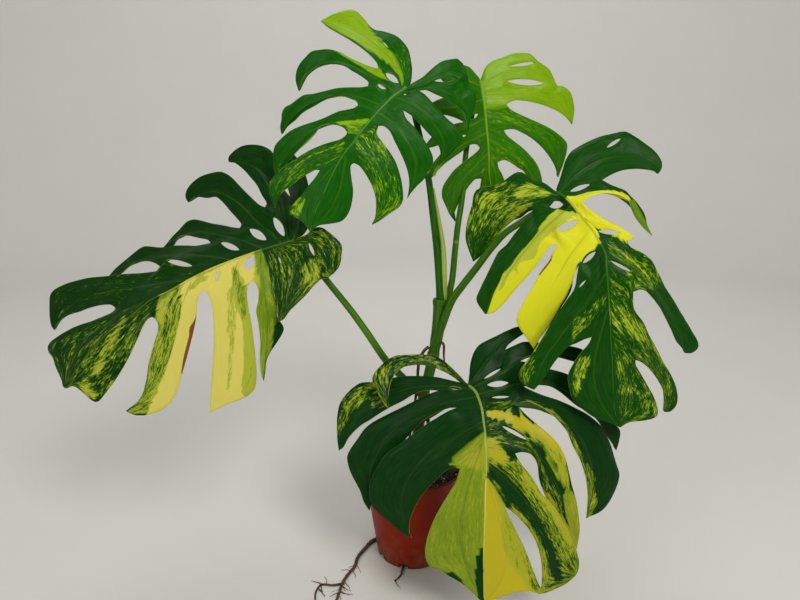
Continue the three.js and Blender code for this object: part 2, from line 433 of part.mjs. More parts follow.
// Stalks, stem and roots: centre lines in the same frame, [u, v, y].
const STEM_LINE = [[414, 486, 0], [414, 471, 0], [418, 430, 0], [424, 395, 0], [431, 365, 0], [438, 330, 1],
  [441, 299, 2]];
const STALKS = {
  petiole_top: { line: [[440.5, 303, 2], [439.5, 285, 0], [437, 250, -2], [433, 215, -2], [429, 182, -2],
    [421, 142, -3], [413, 108, -8], [407.5, 88, -19]], foot: 4.6, end: 3.2, leaf: "leaf_top" },
  petiole_lime: { line: [[446, 306, 5], [452, 280, 9], [454.5, 256, 14], [457.5, 228, 22], [462.5, 195, 33],
    [466, 152, 43], [473, 110, 47], [480, 82, 36]], foot: 4, end: 3, leaf: "leaf_lime" },
  petiole_right: { line: [[433, 350, -2], [441, 328, -7], [452, 300, -12], [462, 286, -13], [476, 268, -14],
    [492, 247, -13], [505, 233, -11], [518, 224, -8], [536, 212, -5], [549, 202, -6], [556, 193, -13]],
    foot: 5.2, end: 3.6, leaf: "leaf_right" },
  petiole_left: { line: [[420, 392, 0], [410, 384, -9], [398.5, 373, -18], [386, 360, -26],
    [366, 331, -34], [350, 309, -36], [325, 278, -36], [308, 256, -36], [296, 241, -43]],
    foot: 5, end: 3.4, leaf: "leaf_left" },
  petiole_front: { line: [[422, 418, 0], [432, 413, -16], [446, 404, -36], [458, 395, -54],
    [467, 386.5, -68]], foot: 5, end: 3.6, leaf: "leaf_front" },
};
// The sheath that clasps the foot of the top leaf's stalk and tapers away up its side.
const SHEATH_LINE = [[443, 300, 4], [443.5, 285, 2], [443, 250, 0], [438, 215, 0], [433, 188, -1]];
const SHEATH = { foot: 5, end: 1.4 };
const AERIAL_ROOTS = {
  aerial_root_1: { line: [[428, 347, -3], [424, 351, -8], [421, 356, -9], [418.5, 365, -8], [417.6, 377, -7],
    [415.7, 397, -7], [412.5, 421, -8], [408, 446, -9], [405, 476, -9]], foot: 2, end: 1.3 },
  aerial_root_2: { line: [[439, 341, -2], [443.3, 344, -4], [443.8, 355, -5], [444.5, 364, -5]],
    foot: 1.8, end: 1 },
  aerial_root_3: { line: [[420, 410, -2], [427, 417, -7], [428, 428, -9], [427, 447, -12], [426, 480, -14]],
    foot: 2.4, end: 1.7 },
};
// Roots that come out of the pot's drain notches: plan points [x, y] in millimetres, and how far above the
// table their skin lies.
const ROOT_LIFT = 0.3;
const DRAIN_ROOTS = {
  drain_root_main: { plan: [[-29.5, 7.9], [-38, 10.2], [-46, 11.5], [-55, 5], [-63, -9], [-71, -26],
    [-73.5, -42], [-80, -55], [-86, -70], [-89, -88], [-92, -104], [-99, -118]], foot: 2.6, end: 1.3 },
  drain_root_left: { plan: [[-84, -72], [-98, -75], [-112, -74], [-117, -86], [-116, -99]],
    foot: 1.5, end: 0.9 },
  drain_root_front: { plan: [[-7.9, -29.4], [-11, -40], [-14, -49], [-15, -56], [-19, -63], [-23, -67]],
    foot: 1.5, end: 0.8 },
};

const COLOUR = {
  pot: "#8a2c1c", soil: "#2a211c", stem: "#3f5a24", stalk: "#4c7a2a", root: "#5b3a22",
  leaf_left: "#9aa03c", leaf_top: "#2f6b1c", leaf_lime: "#6f9a1c", leaf_right: "#8c9a24",
  leaf_front: "#7a9430",
};
const ROUGHNESS = { leaf: 0.35, stalk: 0.4, pot: 0.45, stem: 0.5, root: 0.8, soil: 0.95 };

// The point that shows at (u, v) from the viewpoint and lies at depth y.
function sight(u, v, y) {
  const across = (u - VIEW.centreU) / VIEW.focal;
  const up = (VIEW.centreV - v) / VIEW.focal;
  const ray = new THREE.Vector3(
    across,
    Math.cos(VIEW.pitch) + up * Math.sin(VIEW.pitch),
    up * Math.cos(VIEW.pitch) - Math.sin(VIEW.pitch),
  );
  return ray.multiplyScalar((y - VIEW.place.y) / ray.y).add(VIEW.place);
}

// A smooth curve through points of three numbers, sampled in `count` equal steps.
function smooth(points, count) {
  const curve = new THREE.CatmullRomCurve3(
    points.map((p) => new THREE.Vector3(p[0], p[1], p[2])), false, "centripetal");
  curve.arcLengthDivisions = GRID.curve;
  return curve.getSpacedPoints(count);
}

// Gives each point of a margin a depth: where none is written it runs evenly between its neighbours.
function withDepth(points) {
  const run = [0];
  points.slice(1).forEach((p, i) => {
    run.push(run[i] + Math.hypot(p[0] - points[i][0], p[1] - points[i][1]));
  });
  const known = points.map((p, i) => i).filter((i) => points[i].length > 2);
  return points.map((p, i) => {
    if (p.length > 2) return p;
    const before = known.filter((k) => k < i).pop();
    const after = known.find((k) => k > i);
    const share = (run[i] - run[before]) / (run[after] - run[before]);
    return [p[0], p[1], THREE.MathUtils.lerp(points[before][2], points[after][2], share)];
  });
}

// The midrib as a function of the share along it, with a rail on either side.
function midribOf(points) {
  const samples = smooth(points, GRID.midrib);
  const at = (share) => {
    const step = share * GRID.midrib;
    const i = Math.min(Math.floor(step), GRID.midrib - 1);
    return samples[i].clone().lerp(samples[i + 1], step - i);
  };
  const shareAt = ([u, v]) => {
    const distance = samples.map((p) => Math.hypot(p.x - u, p.y - v));
    return distance.indexOf(Math.min(...distance)) / GRID.midrib;
  };
  const rail = (share, side) => {
    const p = at(share);
    const ahead = at(Math.min(share + GRID.heading, 1)).sub(at(Math.max(share - GRID.heading, 0)));
    const across = new THREE.Vector2(-ahead.y, ahead.x).normalize();
    const opening = Math.min(share / BLADE.ribStart, 1);
    const width = share >= 1 ? 0 : opening * THREE.MathUtils.lerp(BLADE.ribFoot, BLADE.ribTip, share);
    const reach = (side * width * unitsPerMm(p)) / 2;
    return new THREE.Vector3(p.x + across.x * reach, p.y + across.y * reach, p.z);
  };
  return { at, shareAt, rail };
}

// How many frame units one millimetre takes up at a point of the frame.
function unitsPerMm(p) {
  const here = sight(p.x, p.y, p.z);
  return 1 / here.distanceTo(sight(p.x + 1, p.y, p.z));
}

// The line from the midrib to a sinus, as the lobe before it and the lobe after it each have it: they
// part round the hole, if there is one, and are the same elsewhere.
function seam(start, sinus, hole, towardsBase) {
  const end = new THREE.Vector3(...sinus);
  if (!hole) {
    const steps = Array.from({ length: GRID.shared + 1 }, (_, i) => i / GRID.shared);
    return [1, -1].map(() => steps.map((share) => start.clone().lerp(end, share)));
  }
  const [u0, v0, u1, v1, width, bend = 0] = hole;
  const reach = start.distanceTo(end);
  const depthAt = (u, v) => {
    const share = Math.hypot(u - start.x, v - start.y) / reach;
    return THREE.MathUtils.lerp(start.z, end.z, share);
  };
  const inner = new THREE.Vector3(u0, v0, depthAt(u0, v0));
  const outer = new THREE.Vector3(u1, v1, depthAt(u1, v1));
  const across = new THREE.Vector3(-(v1 - v0), u1 - u0, 0).normalize();
  if (across.dot(towardsBase) < 0) across.negate();
  return [1, -1].map((side) => {
    const edge = Array.from({ length: GRID.hole + 1 }, (_, i) => {
      const round = Math.sin((Math.PI * i) / GRID.hole);
      const reach = bend * round + (side * width * round ** HOLE_FULLNESS) / 2;
      return inner.clone().lerp(outer, i / GRID.hole).addScaledVector(across, reach);
    });
    return [start.clone(), ...edge, end.clone()];
  });
}

// A line of points with the share of its length at each, from the midrib (0) to the lobe's tip (1).
function measured(line) {
  const run = [0];
  line.slice(1).forEach((p, i) => run.push(run[i] + p.distanceTo(line[i])));
  return line.map((p, i) => ({ frame: p, share: run[i] / run[run.length - 1] }));
}
function pointAt(line, share) {
  const next = Math.max(line.findIndex((m) => m.share >= share - 1e-9), 1);
  const [a, b] = [line[next - 1], line[next]];
  return a.frame.clone().lerp(b.frame, (share - a.share) / (b.share - a.share));
}

// One half of a blade as lobes. Each is a list of lines that run side by side from the midrib to the lobe's
// tip, the first and the last being its edges.
function halfBlade(midrib, lobes, side) {
  const strips = [];
  const rail = [midrib.rail(0, side)];
  let from = 0;
  let inner = null;
  let sinus = null;
  for (const lobe of lobes) {
    const last = !lobe.tip;
    const to = last ? 1 : midrib.shareAt(lobe.root);
    const tip = last ? midrib.at(1).toArray() : lobe.tip;
    const near = smooth(withDepth([sinus || rail[0].toArray(), ...lobe.near, tip]), GRID.free);
    const proximal = measured(inner ? [...inner, ...near.slice(1)] : near);
    let distal;
    if (last) {
      distal = measured(Array.from({ length: GRID.rows + 1 }, (_, i) =>
        midrib.rail(THREE.MathUtils.lerp(from, 1, i / GRID.rows), side)));
    } else {
      const behind = midrib.at(Math.max(to - GRID.heading, 0));
      const towardsBase = behind.sub(midrib.at(Math.min(to + GRID.heading, 1))).setZ(0);
      const [before, after] = seam(midrib.rail(to, side), lobe.sinus, lobe.hole, towardsBase);
      const far = smooth(withDepth([lobe.sinus, ...[...lobe.far].reverse(), tip]), GRID.free);
      distal = measured([...before, ...far.slice(1)]);
      inner = after;
      sinus = lobe.sinus;
    }
    const lines = [proximal];
    for (let s = 1; s < GRID.across; s++) {
      const between = s / GRID.across;
      lines.push(Array.from({ length: GRID.rows + 1 }, (_, i) => {
        const share = i / GRID.rows;
        const frame = pointAt(proximal, share).lerp(pointAt(distal, share), between);
        const bulge = 4 * between * (1 - between) * Math.sin(Math.PI * share);
        if (i === 0 && !last) frame.copy(midrib.rail(THREE.MathUtils.lerp(from, to, between), side));
        if (!last) frame.z -= LOBE_CAMBER * bulge;
        return { frame, share };
      }));
    }
    lines.push(distal);
    strips.push(lines);
    const along = last ? distal.slice(1) : lines.slice(1).map((line) => line[0]);
    rail.push(...along.map((point) => point.frame));
    from = to;
  }
  return { strips, rail };
}

// A blade as one closed body: the patches, the midrib's strip between its two rails, a front and a back skin
// set apart by the thickness, and a rim round every free edge and hole.
function blade(outline, extra = 0) {
  const midrib = midribOf(outline.midrib);
  const points = [];
  const index = new Map();
  const place = (frame, thick) => {
    const key = frame.toArray().map((n) => n.toFixed(5)).join(" ");
    if (!index.has(key)) {
      index.set(key, points.length);
      points.push({ at: sight(frame.x, frame.y, frame.z), thick, normal: new THREE.Vector3() });
    }
    return index.get(key);
  };
  const faces = [];
  const addFace = (a, b, c) => {
    if (a !== b && b !== c && c !== a) faces.push([a, b, c]);
  };
  const rails = [];
  outline.sides.forEach((lobes, which) => {
    const side = which === 0 ? outline.firstSide : -outline.firstSide;
    const half = halfBlade(midrib, lobes, side);
    rails.push({ side, ids: half.rail.map((frame) => place(frame, BLADE.centre)) });
    for (const lines of half.strips) {
      const placed = lines.map((line) =>
        line.map(({ frame, share }) => ({ id: place(frame, BLADE.edge), share })));
      const add = side > 0 ? addFace : (a, b, c) => addFace(a, c, b);
      placed.slice(1).forEach((line, i) => zip(placed[i], line, add));
    }
  });
  stripBetween(points, rails.find((r) => r.side < 0).ids, rails.find((r) => r.side > 0).ids, addFace);

  for (const [a, b, c] of faces) {
    const first = points[b].at.clone().sub(points[a].at);
    const area = first.cross(points[c].at.clone().sub(points[a].at));
    for (const i of [a, b, c]) points[i].normal.add(area);
  }
  const skin = (sign) => points.map((p) =>
    p.at.clone().addScaledVector(p.normal.clone().normalize(), (sign * (p.thick + extra)) / 2));
  const vertices = [...skin(1), ...skin(-1)];
  const shell = [];
  const used = new Set();
  for (const [a, b, c] of faces) {
    shell.push([a, b, c], [a + points.length, c + points.length, b + points.length]);
    for (const [p, q] of [[a, b], [b, c], [c, a]]) used.add(p + " " + q);
  }
  for (const edge of used) {
    const [p, q] = edge.split(" ").map(Number);
    const [backP, backQ] = [p + points.length, q + points.length];
    if (!used.has(q + " " + p)) shell.push([q, p, backP], [q, backP, backQ]);
  }
  return bodyOf(vertices, shell);
}

// Triangles between two lines that run side by side, always taking the step that comes first.
function zip(first, second, addFace) {
  let i = 0;
  let j = 0;
  while (i < first.length - 1 || j < second.length - 1) {
    const nextFirst = i < first.length - 1 ? first[i + 1].share : Infinity;
    const nextSecond = j < second.length - 1 ? second[j + 1].share : Infinity;
    if (nextFirst <= nextSecond) {
      addFace(first[i].id, first[i + 1].id, second[j].id);
      i++;
    } else {
      addFace(first[i].id, second[j + 1].id, second[j].id);
      j++;
    }
  }
}

// Triangles between two rails that start and end together, always taking the shorter next step.
function stripBetween(points, left, right, addFace) {
  let i = 0;
  let j = 0;
  while (i < left.length - 1 || j < right.length - 1) {
    const stepLeft = i < left.length - 1
      ? points[left[i + 1]].at.distanceTo(points[right[j]].at) : Infinity;
    const stepRight = j < right.length - 1
      ? points[left[i]].at.distanceTo(points[right[j + 1]].at) : Infinity;
    if (stepLeft <= stepRight) {
      addFace(left[i], right[j], left[i + 1]);
      i++;
    } else {
      addFace(left[i], right[j], right[j + 1]);
      j++;
    }
  }
}

function bodyOf(vertices, triangles) {
  const geometry = new THREE.BufferGeometry();
  const numbers = vertices.flatMap((v) => v.toArray());
  geometry.setAttribute("position", new THREE.Float32BufferAttribute(numbers, 3));
  geometry.setIndex(triangles.flat());
  return geometry;
}

// A round rod along a line of places, its radius running through `radii`, closed by a flat cap at each end.
function rod(line, radii, { sides, steps }) {
  const places = smooth(line.map((p) => p.toArray()), steps);
  const frames = new THREE.CatmullRomCurve3(places, false, "centripetal").computeFrenetFrames(steps, false);
  const vertices = [];
  const triangles = [];
  places.forEach((p, i) => {
    const share = (i / steps) * (radii.length - 1);
    const k = Math.min(Math.floor(share), radii.length - 2);
    const radius = THREE.MathUtils.lerp(radii[k], radii[k + 1], share - k);
    for (let s = 0; s < sides; s++) {
      const angle = (2 * Math.PI * s) / sides;
      vertices.push(p.clone().addScaledVector(frames.normals[i], radius * Math.cos(angle))
        .addScaledVector(frames.binormals[i], radius * Math.sin(angle)));
    }
  });
  for (let i = 0; i < steps; i++)
    for (let s = 0; s < sides; s++) {
      const [a, b] = [i * sides + s, i * sides + ((s + 1) % sides)];
      triangles.push([a, b, b + sides], [a, b + sides, a + sides]);
    }
  for (let s = 1; s < sides - 1; s++) {
    triangles.push([0, s + 1, s]);
    const end = steps * sides;
    triangles.push([end, end + s, end + s + 1]);
  }
  return bodyOf(vertices, triangles);
}

const wasm = await Module();
wasm.setup();

function solidOf(geometry) {
  const plain = new THREE.BufferGeometry().setAttribute("position", geometry.getAttribute("position"));
  plain.setIndex(geometry.index);
  const merged = mergeVertices(plain, 1e-4);
  return new wasm.Manifold(new wasm.Mesh({
    numProp: 3,
    vertProperties: merged.attributes.position.array,
    triVerts: new Uint32Array(merged.index.array),
  }));
}

function geometryOf(solid) {
  const mesh = solid.getMesh();
  const positions = new Float32Array(mesh.numVert * 3);
  for (let i = 0; i < mesh.numVert; i++)
    positions.set(mesh.vertProperties.subarray(i * mesh.numProp, i * mesh.numProp + 3), i * 3);
  const geometry = new THREE.BufferGeometry();
  geometry.setAttribute("position", new THREE.BufferAttribute(positions, 3));
  geometry.setIndex(new THREE.BufferAttribute(mesh.triVerts, 1));
  return geometry;
}

// Cuts away what a piece shares with its neighbours, and keeps the largest part of it.
function fitted(solid, neighbours) {
  const cut = neighbours.reduce((rest, neighbour) => rest.subtract(neighbour), solid);
  return cut.decompose().reduce((best, part) => (part.volume() > best.volume() ? part : best));
}

const plant = new THREE.Group();
function addPiece(name, solid, colour, roughness) {
  const material = new THREE.MeshStandardMaterial({ color: colour, roughness, metalness: 0 });
  const mesh = new THREE.Mesh(geometryOf(solid), material);
  mesh.name = name;
  plant.add(mesh);
}

// Pot: a turned wall with a rim band, cut at the foot by the drain notches.
function turned(profile, segments) {
  const lathe = new THREE.LatheGeometry(profile.map(([r, z]) => new THREE.Vector2(r, z)), segments);
  lathe.rotateX(Math.PI / 2);
  return solidOf(lathe);
}
const TAPER = (POT.rimRadius - POT.bandStep - POT.baseRadius) / POT.height;
const wallRadius = (z) => POT.baseRadius + TAPER * z;
const insideRadius = (z) => wallRadius(z) - POT.wall;
function makePot() {
  const bandFoot = POT.height - POT.bandHeight;
  const shell = turned([
    [0, 0], [POT.baseRadius, 0], [wallRadius(bandFoot), bandFoot],
    [wallRadius(bandFoot) + POT.bandStep, bandFoot], [POT.rimRadius, POT.height],
    [insideRadius(POT.height), POT.height], [insideRadius(FOOT.floor), FOOT.floor], [0, FOOT.floor],
  ], POT.segments);
  return drainNotches(0).reduce((pot, notch) => pot.subtract(notch), shell);
}
function drainNotches(extra) {
  const [inner, outer] = [FOOT.notchInner - extra, FOOT.notchOuter];
  const [width, height] = [FOOT.notchWidth + 2 * extra, FOOT.notchHeight + extra];
  return Array.from({ length: FOOT.notchCount }, (_, i) => {
    const notch = new THREE.BoxGeometry(outer - inner, width, 2 * height);
    notch.translate((inner + outer) / 2, 0, 0);
    notch.rotateZ(FOOT.notchTurn + (2 * Math.PI * i) / FOOT.notchCount);
    return solidOf(notch);
  });
}
function makeSoil() {
  const top = POT.height - SOIL.below;
  const foot = FOOT.floor + SEAT;
  const [footRadius, topRadius] = [insideRadius(foot) - SEAT, insideRadius(top) - SEAT];
  return turned([
    [0, foot], [footRadius, foot], [topRadius, top],
    [topRadius * SOIL.ringRadius, top + SOIL.crown * SOIL.ringHeight], [0, top + SOIL.crown],
  ], POT.segments);
}

// Leaves, each once as it is and once grown by the clearance, to fit its stalk against.
const LEAVES = { leaf_left: LEAF_LEFT, leaf_top: LEAF_TOP, leaf_lime: LEAF_LIME, leaf_right: LEAF_RIGHT,
  leaf_front: LEAF_FRONT };
const leafSolids = {};
for (const [name, outline] of Object.entries(LEAVES)) {
  leafSolids[name] = [solidOf(blade(outline)), solidOf(blade(outline, 2 * SEAT))];
  addPiece(name, leafSolids[name][0], COLOUR[name], ROUGHNESS.leaf);
}

const inPlace = (line) => line.map((p) => sight(...p));
const grown = (radii, extra) => radii.map((radius) => radius + extra);
const stemWith = (extra) => {
  const radii = grown([STEM.foot, STEM.middle, STEM.middle, STEM.top], extra);
  return solidOf(rod(inPlace(STEM_LINE), radii, DIVISIONS.stem));
};
const grownStem = stemWith(SEAT);
addPiece("main_stem", stemWith(0), COLOUR.stem, ROUGHNESS.stem);

// The stalks, in the order in which they leave the stem: each is fitted to the stem, to those before it and
// to its leaf.
const standing = [grownStem];
for (const [name, { line, foot, end, leaf }] of Object.entries(STALKS)) {
  const made = (extra) => {
    const stalk = solidOf(rod(inPlace(line), grown([foot, end], extra), DIVISIONS.stalk));
    if (name !== "petiole_top") return stalk;
    const sheathRadii = grown([SHEATH.foot, SHEATH.end], extra);
    return stalk.add(solidOf(rod(inPlace(SHEATH_LINE), sheathRadii, DIVISIONS.sheath)));
  };
  addPiece(name, fitted(made(0), [...standing, ...leafSolids[leaf]]), COLOUR.stalk, ROUGHNESS.stalk);
  standing.push(made(SEAT));
}

const rootsInSoil = [];
for (const [name, { line, foot, end }] of Object.entries(AERIAL_ROOTS)) {
  const made = (extra) => solidOf(rod(inPlace(line), grown([foot, end], extra), DIVISIONS.root));
  addPiece(name, fitted(made(0), standing), COLOUR.root, ROUGHNESS.root);
  rootsInSoil.push(made(SEAT));
}
const soil = fitted(makeSoil(), [grownStem, ...rootsInSoil, ...drainNotches(SEAT)]);
addPiece("soil", soil, COLOUR.soil, ROUGHNESS.soil);
addPiece("pot", makePot(), COLOUR.pot, ROUGHNESS.pot);

// Roots on the table lie on it all along, and each is fitted to the one that it grows from.
const lying = [];
for (const [name, { plan, foot, end }] of Object.entries(DRAIN_ROOTS)) {
  const made = (extra) => {
    const line = plan.map(([x, y], i) => {
      const radius = THREE.MathUtils.lerp(foot, end, i / (plan.length - 1));
      return new THREE.Vector3(x, y, radius + ROOT_LIFT);
    });
    return solidOf(rod(line, grown([foot, end], extra), DIVISIONS.root));
  };
  addPiece(name, fitted(made(0), lying), COLOUR.root, ROUGHNESS.root);
  lying.push(made(SEAT));
}

export default plant;
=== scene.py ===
"""A potted aurea monstera with five cut and holed leaves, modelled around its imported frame."""
import math
import random
from functools import partial

import bpy
import numpy as np
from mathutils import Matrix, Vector, noise


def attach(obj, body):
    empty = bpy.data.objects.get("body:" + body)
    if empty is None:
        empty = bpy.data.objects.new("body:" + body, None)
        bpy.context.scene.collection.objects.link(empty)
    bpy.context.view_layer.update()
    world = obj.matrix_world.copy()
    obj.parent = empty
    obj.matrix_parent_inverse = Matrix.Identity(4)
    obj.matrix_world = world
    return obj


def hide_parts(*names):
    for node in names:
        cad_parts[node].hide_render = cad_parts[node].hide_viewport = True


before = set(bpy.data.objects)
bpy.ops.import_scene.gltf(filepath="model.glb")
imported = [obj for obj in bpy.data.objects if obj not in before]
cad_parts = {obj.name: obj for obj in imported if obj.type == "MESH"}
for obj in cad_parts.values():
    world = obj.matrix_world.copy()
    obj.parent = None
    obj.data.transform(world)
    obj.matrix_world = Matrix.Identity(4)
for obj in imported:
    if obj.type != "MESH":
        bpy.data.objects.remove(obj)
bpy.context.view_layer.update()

# One scene unit is a metre, and every size below is in millimetres.
MM = 0.001

# The viewpoint: its place, how far it looks down in degrees, and its focal length in units of a frame that is
# 800 by 600 units. The leaves are laid out in that frame, as in the part's own source.
VIEW_PLACE = (-16.3, -671.1, 510.1)
VIEW_PITCH = math.radians(14.2)
VIEW_FOCAL = 578
FRAME_SIZE = (800, 600)
SENSOR_WIDTH = 36

camera = bpy.data.objects.new("camera", bpy.data.cameras.new("camera"))
camera.data.sensor_width = SENSOR_WIDTH
camera.data.lens = VIEW_FOCAL * SENSOR_WIDTH / FRAME_SIZE[0]
camera.data.clip_start = 0.01
camera.location = Vector(VIEW_PLACE) * MM
camera.rotation_euler = (math.radians(90) - VIEW_PITCH, 0, 0)
bpy.context.scene.collection.objects.link(camera)
bpy.context.scene.camera = camera


def sight(points):
    """The places, in millimetres, that show at (u, v) from the viewpoint and lie at depth y."""
    points = np.asarray(points, float)
    u, v, y = points[..., 0], points[..., 1], points[..., 2]
    up = (FRAME_SIZE[1] / 2 - v) / VIEW_FOCAL
    ray = np.stack([
        (u - FRAME_SIZE[0] / 2) / VIEW_FOCAL,
        math.cos(VIEW_PITCH) + up * math.sin(VIEW_PITCH),
        up * math.cos(VIEW_PITCH) - math.sin(VIEW_PITCH),
    ], axis=-1)
    reach = (y - VIEW_PLACE[1]) / ray[..., 1]
    return ray * reach[..., None] + np.array(VIEW_PLACE)


# Each leaf's outline, as in the part's own source. A point is [u, v] in the frame, and a third number is its
# real depth y in millimetres. Its two sides hold their lobes from the stalk to the tip. A lobe has its near
# margin, running out from the last sinus, its tip, its far margin, running from tip to the next sinus, and
# its root, where the line to that sinus leaves the midrib. A hole lies on that line, and a slit beside the
# lobe's own vein: its inner end, its outer end, its width, and how far it bends, if it does.
LEAF_LEFT = dict(
  first_side=1,
  midrib=[[295, 240, -45], [282.9, 243.5, -50], [261.4, 250, -60], [230.8, 260.8, -72], [210.4, 269, -78],
    [187, 280.8, -84], [170.6, 290, -88], [150.2, 300.2, -92], [127.8, 318.6, -95], [111.4, 329.8, -96],
    [88, 354, -97], [64, 388, -97]],
  sides=[[
  dict(near=[[304, 234, -36], [309, 224, -18], [310, 205, 8], [307, 180, 32], [300, 162]],
   tip=[290, 150, 56], far=[[284, 160, 48], [285, 178, 28]], sinus=[290, 197, 4], root=[291, 241]),
  dict(near=[[283, 188, 14], [277.5, 170], [272.4, 152.4, 38], [264.3, 146.8], [252, 144.8, 48],
   [241.8, 146.3], [233.7, 151.4], [228.6, 157.6]], tip=[229, 161.6, 56], far=[[234.7, 162.7],
   [243.9, 169.8], [252, 179], [257, 185], [262.2, 195.3], [266.8, 203.5]], sinus=[265.3, 207.6, -15],
   root=[285.5, 242.6], hole=[284.3, 236.3, 274, 217.7, 7.5]),
  dict(near=[[260.2, 205.5], [250, 196.3], [239.8, 186], [231.6, 177.4], [225.5, 173.4], [220.4, 171.8, 34],
   [208.2, 173.9], [200, 177.4, 48], [190.8, 185], [186.7, 191.2], [185.7, 197.3]], tip=[188.6, 202.4, 55],
   far=[[190.8, 198.9], [195.9, 196.8], [208.2, 197.9], [216.3, 196.8], [221.4, 200.4], [229.6, 209.6],
   [236.7, 217.8], [241.8, 224.9]], sinus=[239.8, 228.5, -22], root=[276, 245.5],
   hole=[266.5, 240.3, 249.8, 229.3, 8]),
  dict(near=[[231.6, 227.4], [221.4, 225.4], [210.2, 223.4], [201, 220.8], [193.9, 219.8, 18],
   [187.8, 221.8], [180.6, 229], [172.4, 237]], tip=[163.5, 248.5, 36], far=[[173.5, 245.8], [179.6, 236.6],
   [188.8, 236], [199, 238.2], [208.2, 240.2]], sinus=[211, 243.3, -30], root=[248, 254.7],
   hole=[239.5, 250.2, 221, 242.7, 6]),
  dict(near=[[195.9, 246.3], [185.7, 245.8], [173.5, 245.8], [160.4, 247.7, -10], [150.2, 246.6],
   [144, 246.6], [138, 250.2], [127.8, 258.4], [115.5, 268.6]], tip=[109, 276, 18], far=[[120.6, 274.4],
   [128.8, 267.5], [137, 263.5], [147, 261.6], [155.3, 263.5]], sinus=[161, 267, -42], root=[211, 268.7],
   hole=[192.6, 266.3, 166.5, 260.6, 5]),
  dict(near=[[159, 270.6], [150, 272.6], [137, 273.7], [120.6, 274.4, -42], [108.4, 276.2], [91, 277.8],
   [80.8, 279.8, -34], [66.5, 283.9], [54.3, 290], [50.7, 295], [49.9, 301], [50.2, 319.6], [51.7, 326.7]],
   tip=[54.3, 330.3, -24], far=[[55.3, 326.7], [60.4, 320.6], [68.6, 315], [80.8, 311.4], [92, 307.3],
   [105.3, 304.8], [112.4, 305.3]], sinus=[116, 308.4, -68], root=[163, 294]),
  dict(near=[[113, 312.4], [105.3, 316], [91, 321.6], [74.7, 327.2, -70], [58.4, 336.4], [50.2, 343, -66],
   [48.2, 348.2], [49.2, 352.8], [52.2, 356.3], [56.3, 367.6], [60.9, 378.8, -90]])
  ], [
  dict(near=[[300.2, 237.3, -46], [307.3, 234.3], [311.4, 230.2], [315.5, 227.7, -45], [321.6, 227.7],
   [328.8, 232.2], [337, 239.4], [341.5, 245.5, -48], [341, 255.7], [339, 265.9]], tip=[332.9, 274, -56],
   far=[[327.8, 277.7]], sinus=[320.6, 279.2, -62], root=[290, 241.5], hole=[309, 243, 314.5, 256, 3.5]),
  dict(near=[[312.4, 287.3], [306.3, 294.5], [297, 303.7], [289, 311.8], [283.9, 319]], tip=[279, 322, -90],
   far=[], sinus=[276.8, 307.8, -80], root=[264, 249.3], slit=[278.5, 257, 281.5, 264, 1.6]),
  dict(near=[[277.6, 318, -71], [283.5, 328, -72], [281.8, 334.3], [276.7, 342.4, -80], [271.6, 350],
   [266, 361], [264.5, 372]], tip=[263.5, 381, -98], far=[[261.4, 374], [259.9, 362.9], [260.4, 342.4],
   [258.4, 324], [256.3, 310.8], [258.4, 299.6], [258.4, 290.4], [255, 283]], sinus=[251.5, 280.5, -78],
   root=[254, 252.5], hole=[253.5, 256, 245.5, 270, 10]),
  dict(near=[[248.2, 285.3], [246.6, 293.5], [248.7, 309.8], [251.2, 322], [253.8, 342.4], [256.3, 368],
   [256.5, 377], [254.5, 389, -102], [245.6, 396.9], [225.8, 404.8]], tip=[209.6, 413, -104],
   far=[[212, 377], [214, 327.7], [210, 298]], sinus=[204, 288.8, -90], root=[221, 264.8],
   hole=[218.5, 270, 216, 282, 3]),
  dict(near=[[198.2, 298], [196.2, 317.8], [190, 345], [182.3, 373.2], [176.4, 393], [166.5, 406.8, -108],
   [150.7, 414], [134.9, 414.7]], tip=[126, 411, -108], far=[[140, 399], [146, 382.9], [149.2, 362.4],
   [153.3, 347], [157.3, 333.9], [158.4, 326.7], [156.3, 320]], sinus=[152.2, 317, -97], root=[163, 294]),
  dict(near=[[148.2, 319], [143, 326.7], [138, 338], [126.7, 361.4], [115.5, 379.8, -104], [103.3, 396],
   [99.3, 400.9], [95.4, 401.8, -106], [88, 397], [80.8, 390.5], [72.7, 386]])
  ]]
)
